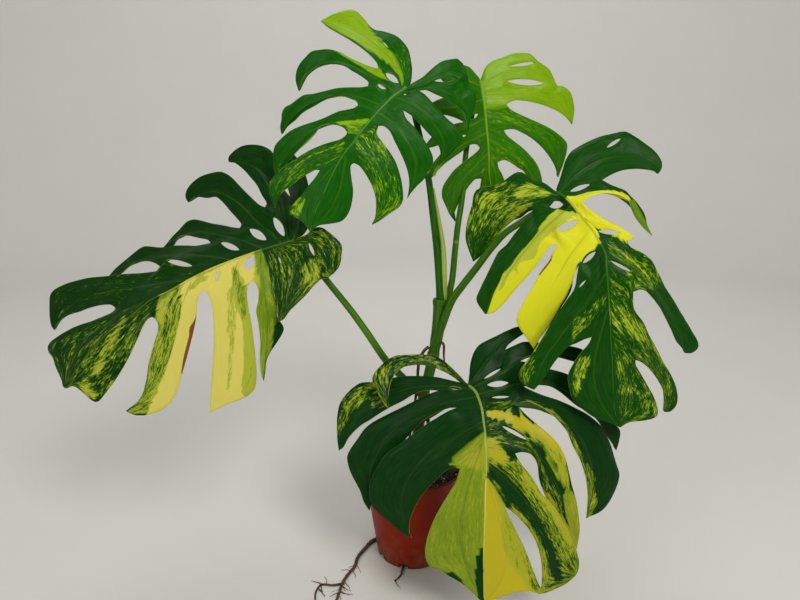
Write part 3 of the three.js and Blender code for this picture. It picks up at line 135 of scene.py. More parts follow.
LEAF_TOP = dict(
  first_side=1,
  midrib=[[406.8, 86.6, -20], [402.8, 89.7, -22], [392.6, 96.8, -27], [382.3, 107, -32], [372, 118.3, -37],
    [361.9, 130.5, -41], [354.8, 140.7, -44], [344.6, 153, -48], [336.4, 166.4, -51], [330.3, 178.7, -53],
    [324.2, 192, -55], [316, 210.3, -58], [309.9, 231.7, -60]],
  sides=[[
  dict(near=[[409.9, 84.6, -14], [411.9, 71.3, 4], [410.9, 62], [407.9, 49.9, 20], [402.8, 42.8],
   [395.6, 36.6, 24], [383.4, 32], [373.2, 29.5, 20], [365, 20.3], [357.9, 12.7], [351.7, 10], [342.6, 11.6],
   [330.3, 15.7]], tip=[320.6, 21, 18], far=[[328.3, 27.4], [338.5, 33.6], [351.7, 41.7, -6], [361.9, 48.9],
   [368, 54], [373, 59], [377.2, 64.2]], sinus=[377.8, 68.3, -25], root=[403, 89.5],
   hole=[398.5, 83, 385.5, 73.5, 6], slit=[382.3, 42.2, 388.5, 48.9, 1.6]),
  dict(near=[[369, 66.2], [356.8, 61], [346.6, 56], [340.5, 52.4, 0], [328.3, 49.4], [320, 49.9],
   [311.9, 51.4], [305.8, 57], [299.7, 64.2], [296.6, 71.3], [295.6, 79.5], [297, 86.6]],
   tip=[298.7, 91.2, 20], far=[[299.2, 85.6], [302.8, 77.4], [309.9, 70.3], [318, 65.7], [328.3, 63.7],
   [342.6, 64.7], [351.7, 70.3], [363, 77.4], [369, 83]], sinus=[368, 86, -30], root=[389.5, 100],
   hole=[386, 89, 377.5, 84.5, 4]),
  dict(near=[[363, 87.3], [346.6, 87.4], [336.4, 88.2], [326.2, 90.7], [314, 93.8], [303.8, 95.3],
   [296.6, 99.9], [290.5, 104.5], [285.4, 107], [282.3, 112], [281.3, 120.3], [280, 127.4]],
   tip=[281.3, 134.6, 12], far=[[282.3, 131.5], [288.5, 125.4], [295.6, 120.3], [302.8, 113.2], [314, 106.5],
   [324.2, 100.4], [332.3, 97.3], [342.6, 96.3], [349.7, 98.4], [356.8, 101.9]], sinus=[358, 105.5, -34],
   root=[375, 115]),
  dict(near=[[354.8, 108], [346.6, 110], [338.5, 111.6], [328.3, 116.2], [316, 121.3], [303.8, 125.4],
   [291.5, 130.5], [281.3, 138.7], [275.2, 145.8], [273.2, 154], [273.7, 166.4]], tip=[275.7, 175.6, -4],
   far=[[278.3, 172.6], [285.4, 164.4], [291.5, 157.2], [299.7, 149], [308.9, 140.9], [316, 132.8],
   [320, 126.6], [326.2, 124.6], [331.3, 124.4], [338.5, 125.6], [344.6, 128.7]], sinus=[347.4, 132.8, -44],
   root=[358, 136]),
  dict(near=[[345.6, 135.8], [340.5, 139.4], [330.3, 142.4], [320, 146], [308.9, 151], [295.6, 159.3],
   [285.4, 166.4], [275.2, 175.6, -24], [270, 182.8], [269.3, 188.9], [271, 198]], tip=[275.2, 209.3, -22],
   far=[[276.2, 202], [280.3, 195], [285.4, 189.9], [293.6, 183.8], [302.8, 177], [311.9, 172], [316, 170]],
   sinus=[320, 170.5, -48], root=[338, 164]),
  dict(near=[[316, 177], [308.9, 185.8], [301.7, 195], [294.6, 203.2], [288, 212.3, -46], [291.5, 215.4],
   [299.7, 219.5], [305.8, 224.6]])
  ], [
  dict(near=[[416, 81, -14], [422.8, 77], [430.5, 70.2], [438, 64, -4], [443.5, 61], [450.4, 59.5],
   [457.3, 58.8]], tip=[463, 63.5, 8], far=[[466, 70]], sinus=[467.6, 76, 6], root=[404.6, 88.3],
   hole=[434, 81, 457, 79, 4]),
  dict(near=[[468.6, 83.3], [469.5, 88.6], [472.6, 90.9], [475.3, 97], [474.9, 104.7], [473, 112.3],
   [469.5, 122.3]], tip=[468.6, 130, 2], far=[[466.5, 121.5], [464.2, 113.9], [459.6, 108.5], [452, 103],
   [445, 98.6], [435, 94], [425.9, 90]], sinus=[417, 90, -19], root=[401, 91]),
  dict(near=[[424, 94], [436.6, 107.7], [439.7, 110.8], [447.3, 119.2], [453.5, 124.6], [458.8, 129.5],
   [462.6, 136], [461, 141.4], [453.5, 150.6], [445, 159.8], [440, 167]], tip=[433, 177, -14],
   far=[[439, 160], [440.4, 152], [437.4, 143.7], [425.9, 130.7], [418.3, 122.3], [410, 114.5]],
   sinus=[403, 110.4, -32], root=[388, 101.3], slit=[403.3, 94.5, 407.2, 94.5, 1.4]),
  dict(near=[[406, 118.5], [415.2, 128.4], [430, 150], [433, 162, -36], [424.2, 178.7], [417, 185.8],
   [410.9, 193]], tip=[407.3, 198.6, -38], far=[[409.4, 184.8], [408.4, 173.6], [404.8, 162.3], [399.7, 151],
   [394.6, 140.9], [389.5, 130.7], [383.4, 126]], sinus=[378.3, 126, -38], root=[368, 123]),
  dict(near=[[376.2, 132.8], [381.3, 140.9], [389.5, 152], [395.6, 162.3], [399.7, 174.6], [402.2, 186.8],
   [402.8, 200], [399.7, 206.2], [389.5, 213.4], [379.3, 220.5]], tip=[371.9, 224.6, -46],
   far=[[375.2, 217.4], [376.2, 207.2], [375.7, 198], [373.2, 188.9], [369, 179.7], [364, 171.5],
   [358.9, 165.4]], sinus=[353.8, 162.9, -48], root=[344, 154]),
  dict(near=[[350.7, 165.4], [350.5, 170.5], [351.7, 180.7], [353, 189.9], [352.2, 200], [349.7, 210.3, -52],
   [345.6, 217.4], [340.5, 221.5], [330.3, 223.6], [318, 225.6]])
  ]]
)
LEAF_LIME = dict(
  first_side=1,
  midrib=[[480.2, 80.7, 34], [481.5, 83.4, 32], [482.9, 94, 29], [484.6, 105.7, 26], [486, 120, 24],
    [486.9, 130.7, 23], [488.2, 143.2, 22], [488.9, 161, 24], [489.1, 172.7, 27], [490.7, 184.8, 32],
    [493, 216, 42]],
  sides=[[
  dict(near=[[479.5, 78.5, 36], [474.9, 73.3], [470.3, 68], [465.7, 65.7, 44], [455, 64], [446, 68]],
   tip=[439, 77, 56], far=[[446, 84], [456, 88]], sinus=[466, 92, 34], root=[482, 89]),
  dict(near=[[456, 95], [443, 98], [432, 103]], tip=[424, 112, 54], far=[[434, 113], [446, 115], [456, 118]],
   sinus=[464, 122, 31], root=[485, 110], hole=[478, 114, 470, 119, 4]),
  dict(near=[[455, 124], [444, 129], [432, 137]], tip=[423, 149, 52], far=[[436, 146], [450, 139],
   [460, 135]], sinus=[468, 135, 29], root=[486.6, 127]),
  dict(near=[[460, 139], [444, 151], [431, 167]], tip=[427.5, 184, 46], far=[[430, 180], [443, 165],
   [453, 157.5], [462.3, 151], [469, 145.4], [473, 144], [477.5, 144.6]], sinus=[480, 147.7, 25],
   root=[487.8, 139]),
  dict(near=[[478.4, 150.4], [469.3, 158], [462, 163.4], [454, 170.5], [447.9, 178.6], [443.4, 185.7],
   [441.9, 192], [442.5, 198.2], [446, 206.3], [449.6, 214.3]], tip=[455.4, 221.9, 42], far=[[454, 216],
   [455.9, 209], [460.4, 199], [465.7, 190.2], [470.2, 184], [475.5, 179]], sinus=[481.5, 178.5, 29],
   root=[489, 169]),
  dict(near=[[480, 187], [477.5, 197], [480, 208]])
  ], [
  dict(near=[[482, 76.3, 36], [484.6, 69], [490, 62.4, 42], [494.5, 60.2], [500.7, 58.4], [507.9, 55.3],
   [515.9, 53.5], [523.9, 53.2, 52], [529.3, 53.9], [532.9, 56.6], [537.3, 61], [542.7, 64.6], [548, 68.2],
   [551.6, 73.6]], tip=[554.6, 81, 60], far=[], sinus=[557.5, 86.3, 59], root=[482.2, 88],
   hole=[507, 81.2, 544, 83.4, 6], slit=[509.2, 66.4, 536.9, 62.4, 3]),
  dict(near=[[562, 86.5], [566.8, 88.8], [570.4, 93.2], [572.6, 100.4], [573.9, 110.2], [573, 119]],
   tip=[572, 124.5, 63], far=[[567.7, 119], [560.5, 112.9], [549.8, 107.5], [538.2, 103.5], [524.8, 100.8],
   [514, 100.5]], sinus=[506.3, 104.3, 30], root=[484.2, 103]),
  dict(near=[[510, 109], [518.6, 113.8], [529.3, 118.7], [540, 123.6], [548.9, 128], [557, 133.4],
   [564, 139.6], [566.8, 144], [566.3, 152], [563.2, 163.8]], tip=[557.9, 177, 62], far=[[556, 169],
   [550.7, 158.4], [542.7, 147.7], [533.8, 139.6], [523, 133], [513.2, 129]], sinus=[503.5, 130, 29],
   root=[486.6, 127]),
  dict(near=[[506.5, 135.2], [514, 141.4], [522, 147.7], [530.2, 155.7], [536.4, 163.8], [540, 171.8],
   [542, 185]], tip=[538, 203, 56], far=[[531, 186], [523.8, 171.4], [518.4, 167.9], [510.4, 162.5],
   [504, 159.8]], sinus=[497.5, 162, 29], root=[488.7, 153]),
  dict(near=[[498.5, 168], [501.4, 173.2], [504, 179.5], [507, 191], [504, 204]])
  ]]
)
LEAF_RIGHT = dict(
  first_side=-1,
  midrib=[[556.5, 192, -15], [565, 197, -24], [571.5, 203.5, -32], [578, 212, -40], [585.6, 222, -48],
    [592, 229.5, -55], [598.6, 240.4, -62], [603, 248, -67], [606.2, 256.5, -72], [606.3, 262.8, -75],
    [607.6, 281.9, -80], [608.9, 301, -83], [610, 320, -85], [610.8, 339.3, -86], [612, 358.4, -87],
    [612.7, 377.6, -87], [613.3, 396.7, -87], [615.9, 415.8, -87], [620.3, 427.3, -87]],
  sides=[[
  dict(near=[[556.5, 189, -12], [559.5, 180.7, -6], [562.8, 169.9], [566, 160, 6], [571.5, 151.5],
   [575.8, 148.7], [587.7, 142.2, 15], [600.7, 136.8], [613.8, 133.6], [622.4, 131.9, 18], [626.8, 132.5],
   [634.4, 136.8], [644, 143.3], [652.8, 149.8, 10], [658.2, 155.8], [662, 163.4]], tip=[661.3, 169, 2],
   far=[[657.5, 173.9, 0], [653.9, 171.5], [646.3, 169.7], [635.4, 169, -4], [624.6, 170], [615.9, 172.6],
   [607.2, 177]], sinus=[602, 180.2, -22], root=[562, 195], hole=[570, 191.5, 590, 184.5, 5],
   slit=[606.2, 148, 620.8, 138.7, 3.6]),
  dict(near=[[609.4, 184.5], [618, 187.8], [625.7, 191], [630, 195.9], [634.5, 200.3], [641.4, 209.5],
   [644.5, 215.4], [647.3, 226.3]], tip=[652, 235.8, -30], far=[[643, 227.4], [635.4, 217.6], [631, 207.9],
   [628.8, 200.8], [624.6, 197], [616, 194.3], [607.2, 193.2], [598.6, 194.3], [587.7, 198]],
   sinus=[582.5, 203.5, -40], root=[575, 208]),
  dict(near=[[588, 208.8], [596.4, 214.4], [605, 219.8], [616, 225.2], [623.5, 229.5], [630, 233.9]],
   tip=[633.3, 237.7, -62], far=[], sinus=[627, 241.8, -66], root=[590, 227.3],
   hole=[598, 231.2, 620.8, 233, 5]),
  dict(near=[[630, 246.9], [637.6, 250.7], [646.3, 255.6, -66], [651.7, 261], [658.2, 274], [663, 284.4],
   [672, 298.5], [680.9, 313.8, -54], [691, 330.4], [698, 343], [697.5, 348.2], [691, 353.3]],
   tip=[684.7, 353, -52], far=[[682.2, 348.2], [675.8, 340.6], [670.7, 329], [663, 313.8], [659.2, 307.4],
   [651.6, 297.2], [645.2, 290.8], [639.5, 289.6]], sinus=[633.4, 292, -86], root=[606.2, 260],
   hole=[610, 260.5, 631.5, 272, 3]),
  dict(near=[[632, 302], [634.6, 311], [642.7, 322], [647.8, 333], [650.8, 339], [656.7, 349.5],
   [663, 362.2], [670.7, 375], [675.8, 386.5], [677.5, 398], [675.8, 405.6], [669.4, 411.7]],
   tip=[663.7, 411.7, -66], far=[[666.3, 406], [666.3, 401.8], [663, 390.3], [656.7, 378.8], [649, 368.6],
   [641.4, 362.2]], sinus=[635.3, 359.7, -88], root=[610.5, 333]),
  dict(near=[[635.6, 364.5], [640, 372.4], [646.5, 383.9], [652.9, 395.4], [656.7, 405.6, -76],
   [657.3, 414.5], [654, 417.7], [643.9, 420.3], [628.6, 422.5]])
  ], [
  dict(near=[[553, 189.5, -10], [541.6, 182, -3], [530.9, 180.4], [524.6, 174], [519.3, 171.9, 6],
   [512, 175], [505.9, 179.5], [499.6, 183.5], [492.5, 185.7], [483.6, 187, 8], [476.4, 190.2],
   [473.8, 194.6], [472, 205.4], [468.4, 217], [466, 228.6], [465.7, 239.3, 4], [468.4, 249]],
   tip=[473.2, 261.6, 4], far=[[480, 256.3], [487, 248.2], [494.3, 241], [497.9, 234.8, 6], [505.9, 226.8],
   [513, 220.5], [521, 217, 2], [528.2, 211.6]], sinus=[533.6, 209.7, -14], root=[563, 195.6],
   hole=[563.8, 204.3, 548, 205.6, 8]),
  dict(near=[[526, 220, -22], [514, 234.8, -26], [506.8, 244.6], [498.8, 251.8], [492.5, 263.4], [487, 275],
   [480, 289.3], [476.5, 300]], tip=[485, 314, -34], far=[[493, 312.8], [504.6, 302.5], [514.8, 290],
   [528.2, 275], [537, 264.3], [545.2, 252.7], [552.3, 244.6]], sinus=[558.6, 244, -50], root=[581, 215.8],
   hole=[578.3, 220.8, 556.8, 231.2, 7.5]),
  dict(near=[[552.3, 253.6], [550.5, 259], [539.4, 274], [531, 290], [522.8, 303.6], [516.4, 320, -56],
   [519.6, 327.8], [526.6, 338]], tip=[533.6, 348.9, -56], far=[[539.3, 339.3], [547, 329], [554.6, 318.9],
   [561, 307.4], [567.4, 297.2, -61], [571.5, 288.3], [574, 275.5]], sinus=[578.9, 264.6, -66],
   root=[600.5, 243.5], hole=[595.7, 251.6, 582.8, 263.2, 5]),
  dict(near=[[577, 275.5], [574.5, 288.3, -72], [567, 299.7], [560, 310], [553, 321.4], [544.5, 334.2],
   [536.5, 347], [530, 357], [522, 367.3], [519, 373.7], [520.2, 380], [525.3, 385.8]],
   tip=[534, 389.7, -94], far=[[539.3, 384], [548.3, 371], [557.2, 358.4], [567.4, 347], [576.3, 343],
   [584, 339.3]], sinus=[591.5, 337, -84], root=[609.3, 308], slit=[579, 287.5, 585.9, 280, 2]),
  dict(near=[[589, 343], [581.4, 352], [575, 361], [570, 370, -84], [568, 376.3], [569.3, 387.8],
   [572.5, 398], [578.9, 405.6, -84], [586.5, 412], [596.7, 418.4], [605.7, 421]])
  ]]
)
LEAF_FRONT = dict(
  first_side=1,
  midrib=[[467.8, 385.6, -70], [470.8, 387, -74], [475.9, 392.2, -82], [479, 399.4, -90], [482, 409.6, -98],
    [483.6, 421.8, -106], [485, 432, -112], [485.4, 442.2, -117], [486.4, 457.6, -123], [486.2, 473.5, -129],
    [485.4, 493.6, -136], [485, 515, -142], [484.3, 533.7, -147], [483.4, 553.8, -151], [483.6, 574, -155],
    [484, 604, -160]],
  sides=[[
  dict(near=[[460.6, 377, -58], [450.4, 366.7, -52], [442.2, 359.6, -50], [432, 355.5], [421.8, 354.5, -52],
   [406.5, 355], [395.3, 356, -58], [388.2, 359.6], [381, 365.7, -66], [373.9, 373.9], [372.3, 380, -76],
   [376.4, 390.2], [380, 396.3], [384.5, 404.5]], tip=[388.4, 408.4, -92], far=[[388.2, 401.4],
   [388.7, 391.2, -86], [390.2, 384], [393.3, 377, -74], [398.4, 370.8], [406.5, 364.7, -63], [414.7, 360.6],
   [421.8, 359.6, -56], [437, 365.5, -56], [450.5, 374.8, -58]], sinus=[460.5, 382.6, -64],
   root=[469, 386.2]),
  dict(near=[[451, 380.6], [437.5, 377.6, -60], [425, 376.4], [401.4, 376.4], [393.3, 378, -58],
   [371.8, 382], [360.6, 383, -60], [352.4, 388.2], [345.3, 395.3], [340.2, 403.5], [337.7, 413.7, -68],
   [337, 426], [337.7, 440.2]], tip=[339, 450.4, -82], far=[[343.3, 447.3], [348.4, 438.2], [355.5, 430],
   [362.7, 423.9], [368.3, 420.8, -78], [379, 413.7], [391.2, 406.5], [403.5, 400.4], [411.6, 395.3],
   [421.8, 391.2], [430, 390.2]], sinus=[438.2, 390.6, -74], root=[474, 390],
   hole=[462, 389, 448.5, 387.6, 2.6]),
  dict(near=[[425, 396, -71], [405, 406], [385, 416, -68], [372, 423], [364.7, 429], [357.6, 439.2],
   [350.4, 449.4, -76], [347.3, 456.5], [347.9, 462.7], [350.4, 471.8], [355.5, 482], [360.2, 491],
   [364, 502.2]], tip=[369.5, 510.9, -94], far=[[373, 495], [376, 475, -86], [386, 458], [393, 450],
   [401, 444, -84], [407, 437], [414, 429], [421.8, 421.5], [432, 415.2], [442.2, 410.5], [450.4, 408]],
   sinus=[456.5, 408, -91], root=[480.5, 403.5]),
  dict(near=[[447.3, 411.6, -95], [437, 417.8], [427, 423.9], [414.7, 433, -98], [406.5, 439.2],
   [400, 444.3], [385, 455.5], [379, 464.7], [373.9, 472.9, -100], [370.3, 483], [369.6, 489], [370, 499.2],
   [372, 505.3], [378.6, 512.4, -105], [385.7, 518.6], [393.9, 525.7], [403, 532.9]], tip=[412, 537, -114],
   far=[[410.2, 532.9], [409.4, 524.7], [410.2, 518.6], [413.3, 510.4, -116], [418.4, 500.2], [425.5, 491],
   [431.6, 483.9], [439.8, 475.7], [446.9, 469.6], [452, 467.6]], sinus=[460, 468.6, -122],
   root=[485.4, 441]),
  dict(near=[[456.5, 480.8], [450, 492], [441.8, 505.3], [434.7, 518.6, -130], [429.6, 530.8], [426.5, 542],
   [425.3, 551.2], [426.5, 560.4, -136], [430.6, 567], [439.8, 570], [447, 574.7], [458, 580.8],
   [465.3, 586], [472.4, 593]])
  ], [
  dict(near=[[469.5, 374.3, -58], [470.7, 362.8, -50], [474, 352.5, -45], [478.7, 345.6], [484.4, 342],
   [496, 336.4, -38], [507.4, 330.7], [518.3, 326.6]], tip=[535, 329, -32], far=[[522.3, 334.7],
   [514.3, 339.9], [507.4, 345.6]], sinus=[505, 350, -48], root=[470.3, 386.8],
   hole=[483.9, 378.9, 501, 368.5, 3]),
  dict(near=[[514.3, 345.6], [523.5, 342], [535, 342.5], [550, 343.5], [572.8, 346.7], [583, 350]],
   tip=[600, 365, -36], far=[[588, 364], [574.6, 361.7], [559, 357.6], [545, 355.8], [530.4, 355.4]],
   sinus=[519.5, 361, -60], root=[474.5, 390.7], hole=[487, 385, 509, 383, 6]),
  dict(near=[[535, 364.5], [549.3, 369], [569.4, 375.4, -54], [590, 392], [604, 410], [613, 422],
   [620, 430.6, -50], [619.5, 439.7]], tip=[616.5, 450.6, -50], far=[[611.9, 443.2], [606.5, 435.5],
   [598, 421], [587, 411.5], [576.9, 405.8], [567, 397.8], [559, 391.5], [551, 387], [539.6, 385]],
   sinus=[522.5, 386.3, -70], root=[479.2, 399.8], hole=[491.3, 397.5, 509.7, 396.7, 2.5]),
  dict(near=[[530.4, 390.4], [541.8, 395], [559, 400.7], [576.9, 409, -70], [587.8, 415], [599.3, 424.5],
   [607.3, 437.8, -66], [613, 453.5], [616.5, 465], [619.3, 473.5], [618.2, 481.5], [610, 500.3],
   [600.8, 511]], tip=[586, 518, -98], far=[[587.4, 497.6], [586, 480], [582, 465.4], [576.7, 453.4],
   [571.3, 442.7], [566, 430.6], [557.4, 420.2], [547.6, 411], [536, 404], [525.8, 401.3]],
   sinus=[515.5, 403.5, -88], root=[483.7, 421.5]),
  dict(near=[[522, 411], [530.4, 419], [541.8, 428.3], [551, 436.3], [559, 445.5], [564.8, 457, -112],
   [568.3, 470.7], [571.5, 485], [576, 500.3], [578.7, 517.7], [579.6, 531]], tip=[576.7, 549, -124],
   far=[[566, 531], [553, 510], [543.5, 492, -124], [538.5, 477.5], [536.5, 462.8], [531, 454.7],
   [521.8, 452]], sinus=[515, 453.5, -122], root=[485.6, 447], slit=[501.7, 426, 527, 439.7, 4]),
  dict(near=[[518.9, 460.5], [524.6, 468.3], [532.7, 478.5], [541.2, 493, -132], [551.2, 503.6],
   [560.6, 517, -138], [567.3, 529], [572.7, 541.4], [577, 552], [578.9, 560.5], [578.7, 568.6],
   [577.6, 571.5]], tip=[575.4, 575.3, -140], far=[[566, 583], [554, 589.3, -144], [546.5, 592.5]],
   sinus=[540, 593.8, -149], root=[485.9, 480], hole=[504.8, 506.5, 541, 588, 13.6, 7.6]),
  dict(near=[[530.5, 591.8, -154], [517.8, 592, -156], [503, 596]])
  ]]
)
# Where the tissue lacks green or is lime, on each leaf: closed outlines in the same frame, laid one over the
# other. Each has the share of yellow in its streaks, from 0, none, to 1, all, how lime its green is, and how
# soft its edge is in frame units.
TISSUE_LEFT = [
    (0.22, 0, 6, [(40, 270), (130, 258), (215, 262), (160, 318), (112, 330), (48, 318)]),
    (0.31, 0, 6, [(40, 345), (90, 322), (112, 320), (150, 300), (130, 350), (66, 388)]),
    (0.35, 0.1, 3, [(265, 251), (290, 240), (300, 230), (324, 224), (346, 246), (344, 264), (330, 278),
    (318, 283), (300, 305), (285, 321), (277, 324), (273, 302), (268, 275)]),
    (0.5, 0.2, 3, [(306, 262), (314, 258), (321, 268), (319, 279), (309, 289), (304, 278)]),
    (0.38, 0.2, 3, [(267, 253), (279, 251), (283, 262), (278, 290), (272, 285)]),
    (0.495, 1, 1.2, [(254, 253), (262.4, 250.5), (265.5, 258.8), (269.6, 277), (271.6, 291.4),
    (274.7, 303.7), (277.8, 309.8), (276.7, 322), (274.7, 334), (271.6, 349.6), (265.5, 361), (263, 385),
    (258, 370), (258, 342), (254, 312), (254, 299), (257, 290), (254, 283)]),
    (0.72, 0.8, 2, [(246, 270), (253, 268), (258, 280), (258, 292), (251, 290), (246, 282)]),
    (1, 1, 1.2, [(182, 284), (200, 275.5), (218, 267.4), (236, 260), (254, 253.4), (255, 268), (249, 284),
    (252, 312), (259, 370), (264, 392), (250, 404), (209, 416), (146, 418), (147, 413), (162.6, 377),
    (170.5, 353), (180, 318), (182, 294)]),
    (0.72, 0.4, 4, [(226, 290), (232, 286), (237, 300), (236, 330), (234, 362), (229, 394), (226, 390),
    (228, 350), (226, 310)]),
    (0.52, 0.8, 2.5, [(231, 264), (238, 270), (247, 286), (249, 310), (246, 330), (238, 312), (233, 288)]),
    (0.6, 0.8, 3, [(243, 318), (250, 312), (258, 342), (262, 378), (248, 400), (241, 392), (244, 362)]),
    (0.56, 0.2, 2, [(188, 288), (198, 277), (206, 273), (207, 280), (197, 287), (190, 292)]),
    (0.5, 0.15, 1.5, [(160, 296), (182, 285.5), (182, 294), (180, 318), (170.5, 353), (162.6, 377),
    (147, 415), (124, 414), (140, 399), (146, 383), (150, 350), (157, 328), (153, 316)]),
    (0.62, 0.6, 3, [(158, 300), (166, 296), (168, 308), (160, 326), (155, 318)]),
    (0.36, 0, 3, [(112, 330), (150, 303), (152, 320), (130, 362), (100, 404), (66, 388), (88, 352)]),
    (0.54, 0.1, 3, [(124, 315), (127, 320), (110, 352), (98, 376), (92, 374), (106, 344)]),
    (0.58, 0.2, 3, [(78, 382), (86, 383), (98, 393), (96, 400), (86, 397)]),
]
TISSUE_TOP = [
    (0.34, 0.4, 3, [(392, 50), (398, 36), (413, 56), (412, 80), (406, 84)]),
    (0.51, 1, 1.5, [(318, 20), (330, 12), (350, 7), (362, 12), (373, 31), (381.3, 40.7), (389.5, 51),
    (396.6, 59), (400.7, 68.3), (404, 82), (402, 88), (397.6, 75.4), (387.4, 65), (373, 55), (358, 44.5),
    (339, 34)]),
    (0.52, 1, 1.5, [(331, 49), (345, 52), (357, 57), (369, 62), (379, 67), (390, 82), (376, 77), (360, 67),
    (345, 58)]),
    (0.53, 1, 1.2, [(334, 122), (350, 120), (371, 118), (368, 124), (350, 126), (340, 126)]),
    (0.44, 0.6, 3, [(345, 124), (366, 122), (358, 138), (346, 136)]),
    (0.52, 1, 1.2, [(272, 177), (285, 162), (300, 147), (318, 130), (313, 140), (300, 157), (286, 174),
    (277, 181)]),
    (0.32, 0.1, 5, [(266, 200), (268, 168), (300, 150), (346, 130), (345, 160), (320, 172), (290, 192)]),
    (0.42, 0.2, 4, [(288, 214), (292, 202), (302, 194), (307, 200), (298, 222)]),
    (0.36, 0.1, 4, [(352, 136), (376, 124), (398, 168), (404, 206), (372, 226), (374, 196), (356, 160)]),
    (0.39, 0.3, 5, [(384, 178), (401, 176), (404, 204), (380, 216)]),
    (0.48, 1, 3, [(426, 172), (440, 164), (448, 156), (444, 168), (432, 182)]),
]
TISSUE_LIME = [
    (0.27, 0.35, 8, [(420, 60), (600, 60), (600, 230), (420, 230)]),
    (0.14, 0.1, 4, [(420, 60), (481, 74), (487, 130), (470, 145), (420, 190)]),
    (0.495, 1, 5, [(482, 84), (484, 56), (510, 48), (542, 48), (562, 74), (582, 95), (582, 132), (566, 120),
    (545, 109), (515, 103), (506, 107), (486, 110)]),
    (0.36, 0.5, 3, [(488, 110), (506, 110), (540, 124), (556, 140), (540, 136), (510, 124), (488, 124)]),
    (0.36, 0.4, 3, [(488, 140), (500, 146), (524, 162), (534, 178), (516, 172), (498, 160), (488, 176)]),
]
TISSUE_RIGHT = [
    (0.34, 0.05, 5, [(608, 232), (634, 240), (652, 256), (668, 290), (640, 292), (628, 330), (664, 360),
    (682, 400), (660, 416), (640, 424), (620, 430), (612, 340), (606, 262)]),
    (0.44, 0.1, 4, [(609, 304), (627, 309), (645, 325), (661, 347), (669, 370), (660, 363), (645, 344),
    (629, 336), (611, 324)]),
    (0.42, 0.1, 3, [(614, 352), (622, 362), (632, 382), (633, 399), (625, 391), (616, 375)]),
    (0.42, 0.1, 3, [(612, 250), (628, 254), (645, 262), (656, 280), (640, 272), (622, 262)]),
    (0.37, 0, 3, [(466, 262), (464, 215), (473, 184), (500, 178), (545, 190), (552, 195), (534, 206),
    (520, 217), (497, 240), (474, 262)]),
    (0.28, 0, 6, [(462, 232), (480, 238), (502, 236), (495, 250), (474, 266), (460, 262)]),
    (0.55, 0.1, 4, [(512, 190), (524, 181), (545, 188), (554, 194), (536, 197), (520, 199)]),
    (0.52, 0.1, 4, [(478, 200), (492, 192), (499, 196), (488, 208), (478, 208)]),
    (0.48, 0.1, 3, [(512, 204), (534, 200), (522, 214), (504, 232), (496, 236)]),
    (0.74, 1, 2.5, [(577, 213), (557, 209), (543, 221), (532.6, 240), (520, 253), (502, 275), (494, 294),
    (486, 317), (497, 318), (517, 292), (539, 266), (553, 248), (565, 243), (566, 233), (585, 222),
    (583, 215)]),
    (0.96, 1, 2, [(500, 282), (520, 266), (540, 246), (558, 229), (576, 216), (566, 234), (554, 248),
    (538, 268), (516, 294), (494, 318), (486, 318), (493, 296)]),
    (0.7, 1, 1.5, [(574, 211), (558, 214), (544, 226), (534, 238), (523, 248), (514, 260), (504, 275),
    (497, 292), (502, 290), (512, 270), (519, 276), (518, 266), (530, 258), (531, 262), (544, 242),
    (558, 228), (576, 216)]),
    (1, 1, 1.2, [(583, 214), (592, 222), (599, 235), (600, 244), (590, 252), (578.5, 263), (573, 283),
    (553, 320), (533.6, 352), (512, 332), (513, 318), (531, 288), (549, 256), (557, 242), (565, 235),
    (577, 221)]),
    (1, 1, 1.2, [(562, 196), (574, 196.5), (588, 192.5), (600, 190.5), (612, 190.5), (622, 192.5),
    (630, 198), (629, 201), (622, 197.5), (612, 196), (600, 198), (588, 200), (584, 204), (592, 209),
    (601, 213), (616, 221), (636, 236), (636, 241), (625, 241), (612, 234), (598, 229), (592, 226),
    (583, 215), (575, 207), (568, 201)]),
    (0.44, 0.9, 3, [(628, 199), (634, 199), (655, 238), (648, 240), (634, 216)]),
    (0.37, 0.1, 3, [(570, 320), (592, 304), (607, 290), (608, 302), (592, 325), (570, 345)]),
    (0.4, 0.2, 3, [(516, 378), (524, 358), (536, 355), (536, 372), (526, 388)]),
    (0.43, 0.1, 4, [(578, 356), (592, 354), (588, 374), (578, 398), (571, 398), (568, 378)]),
]
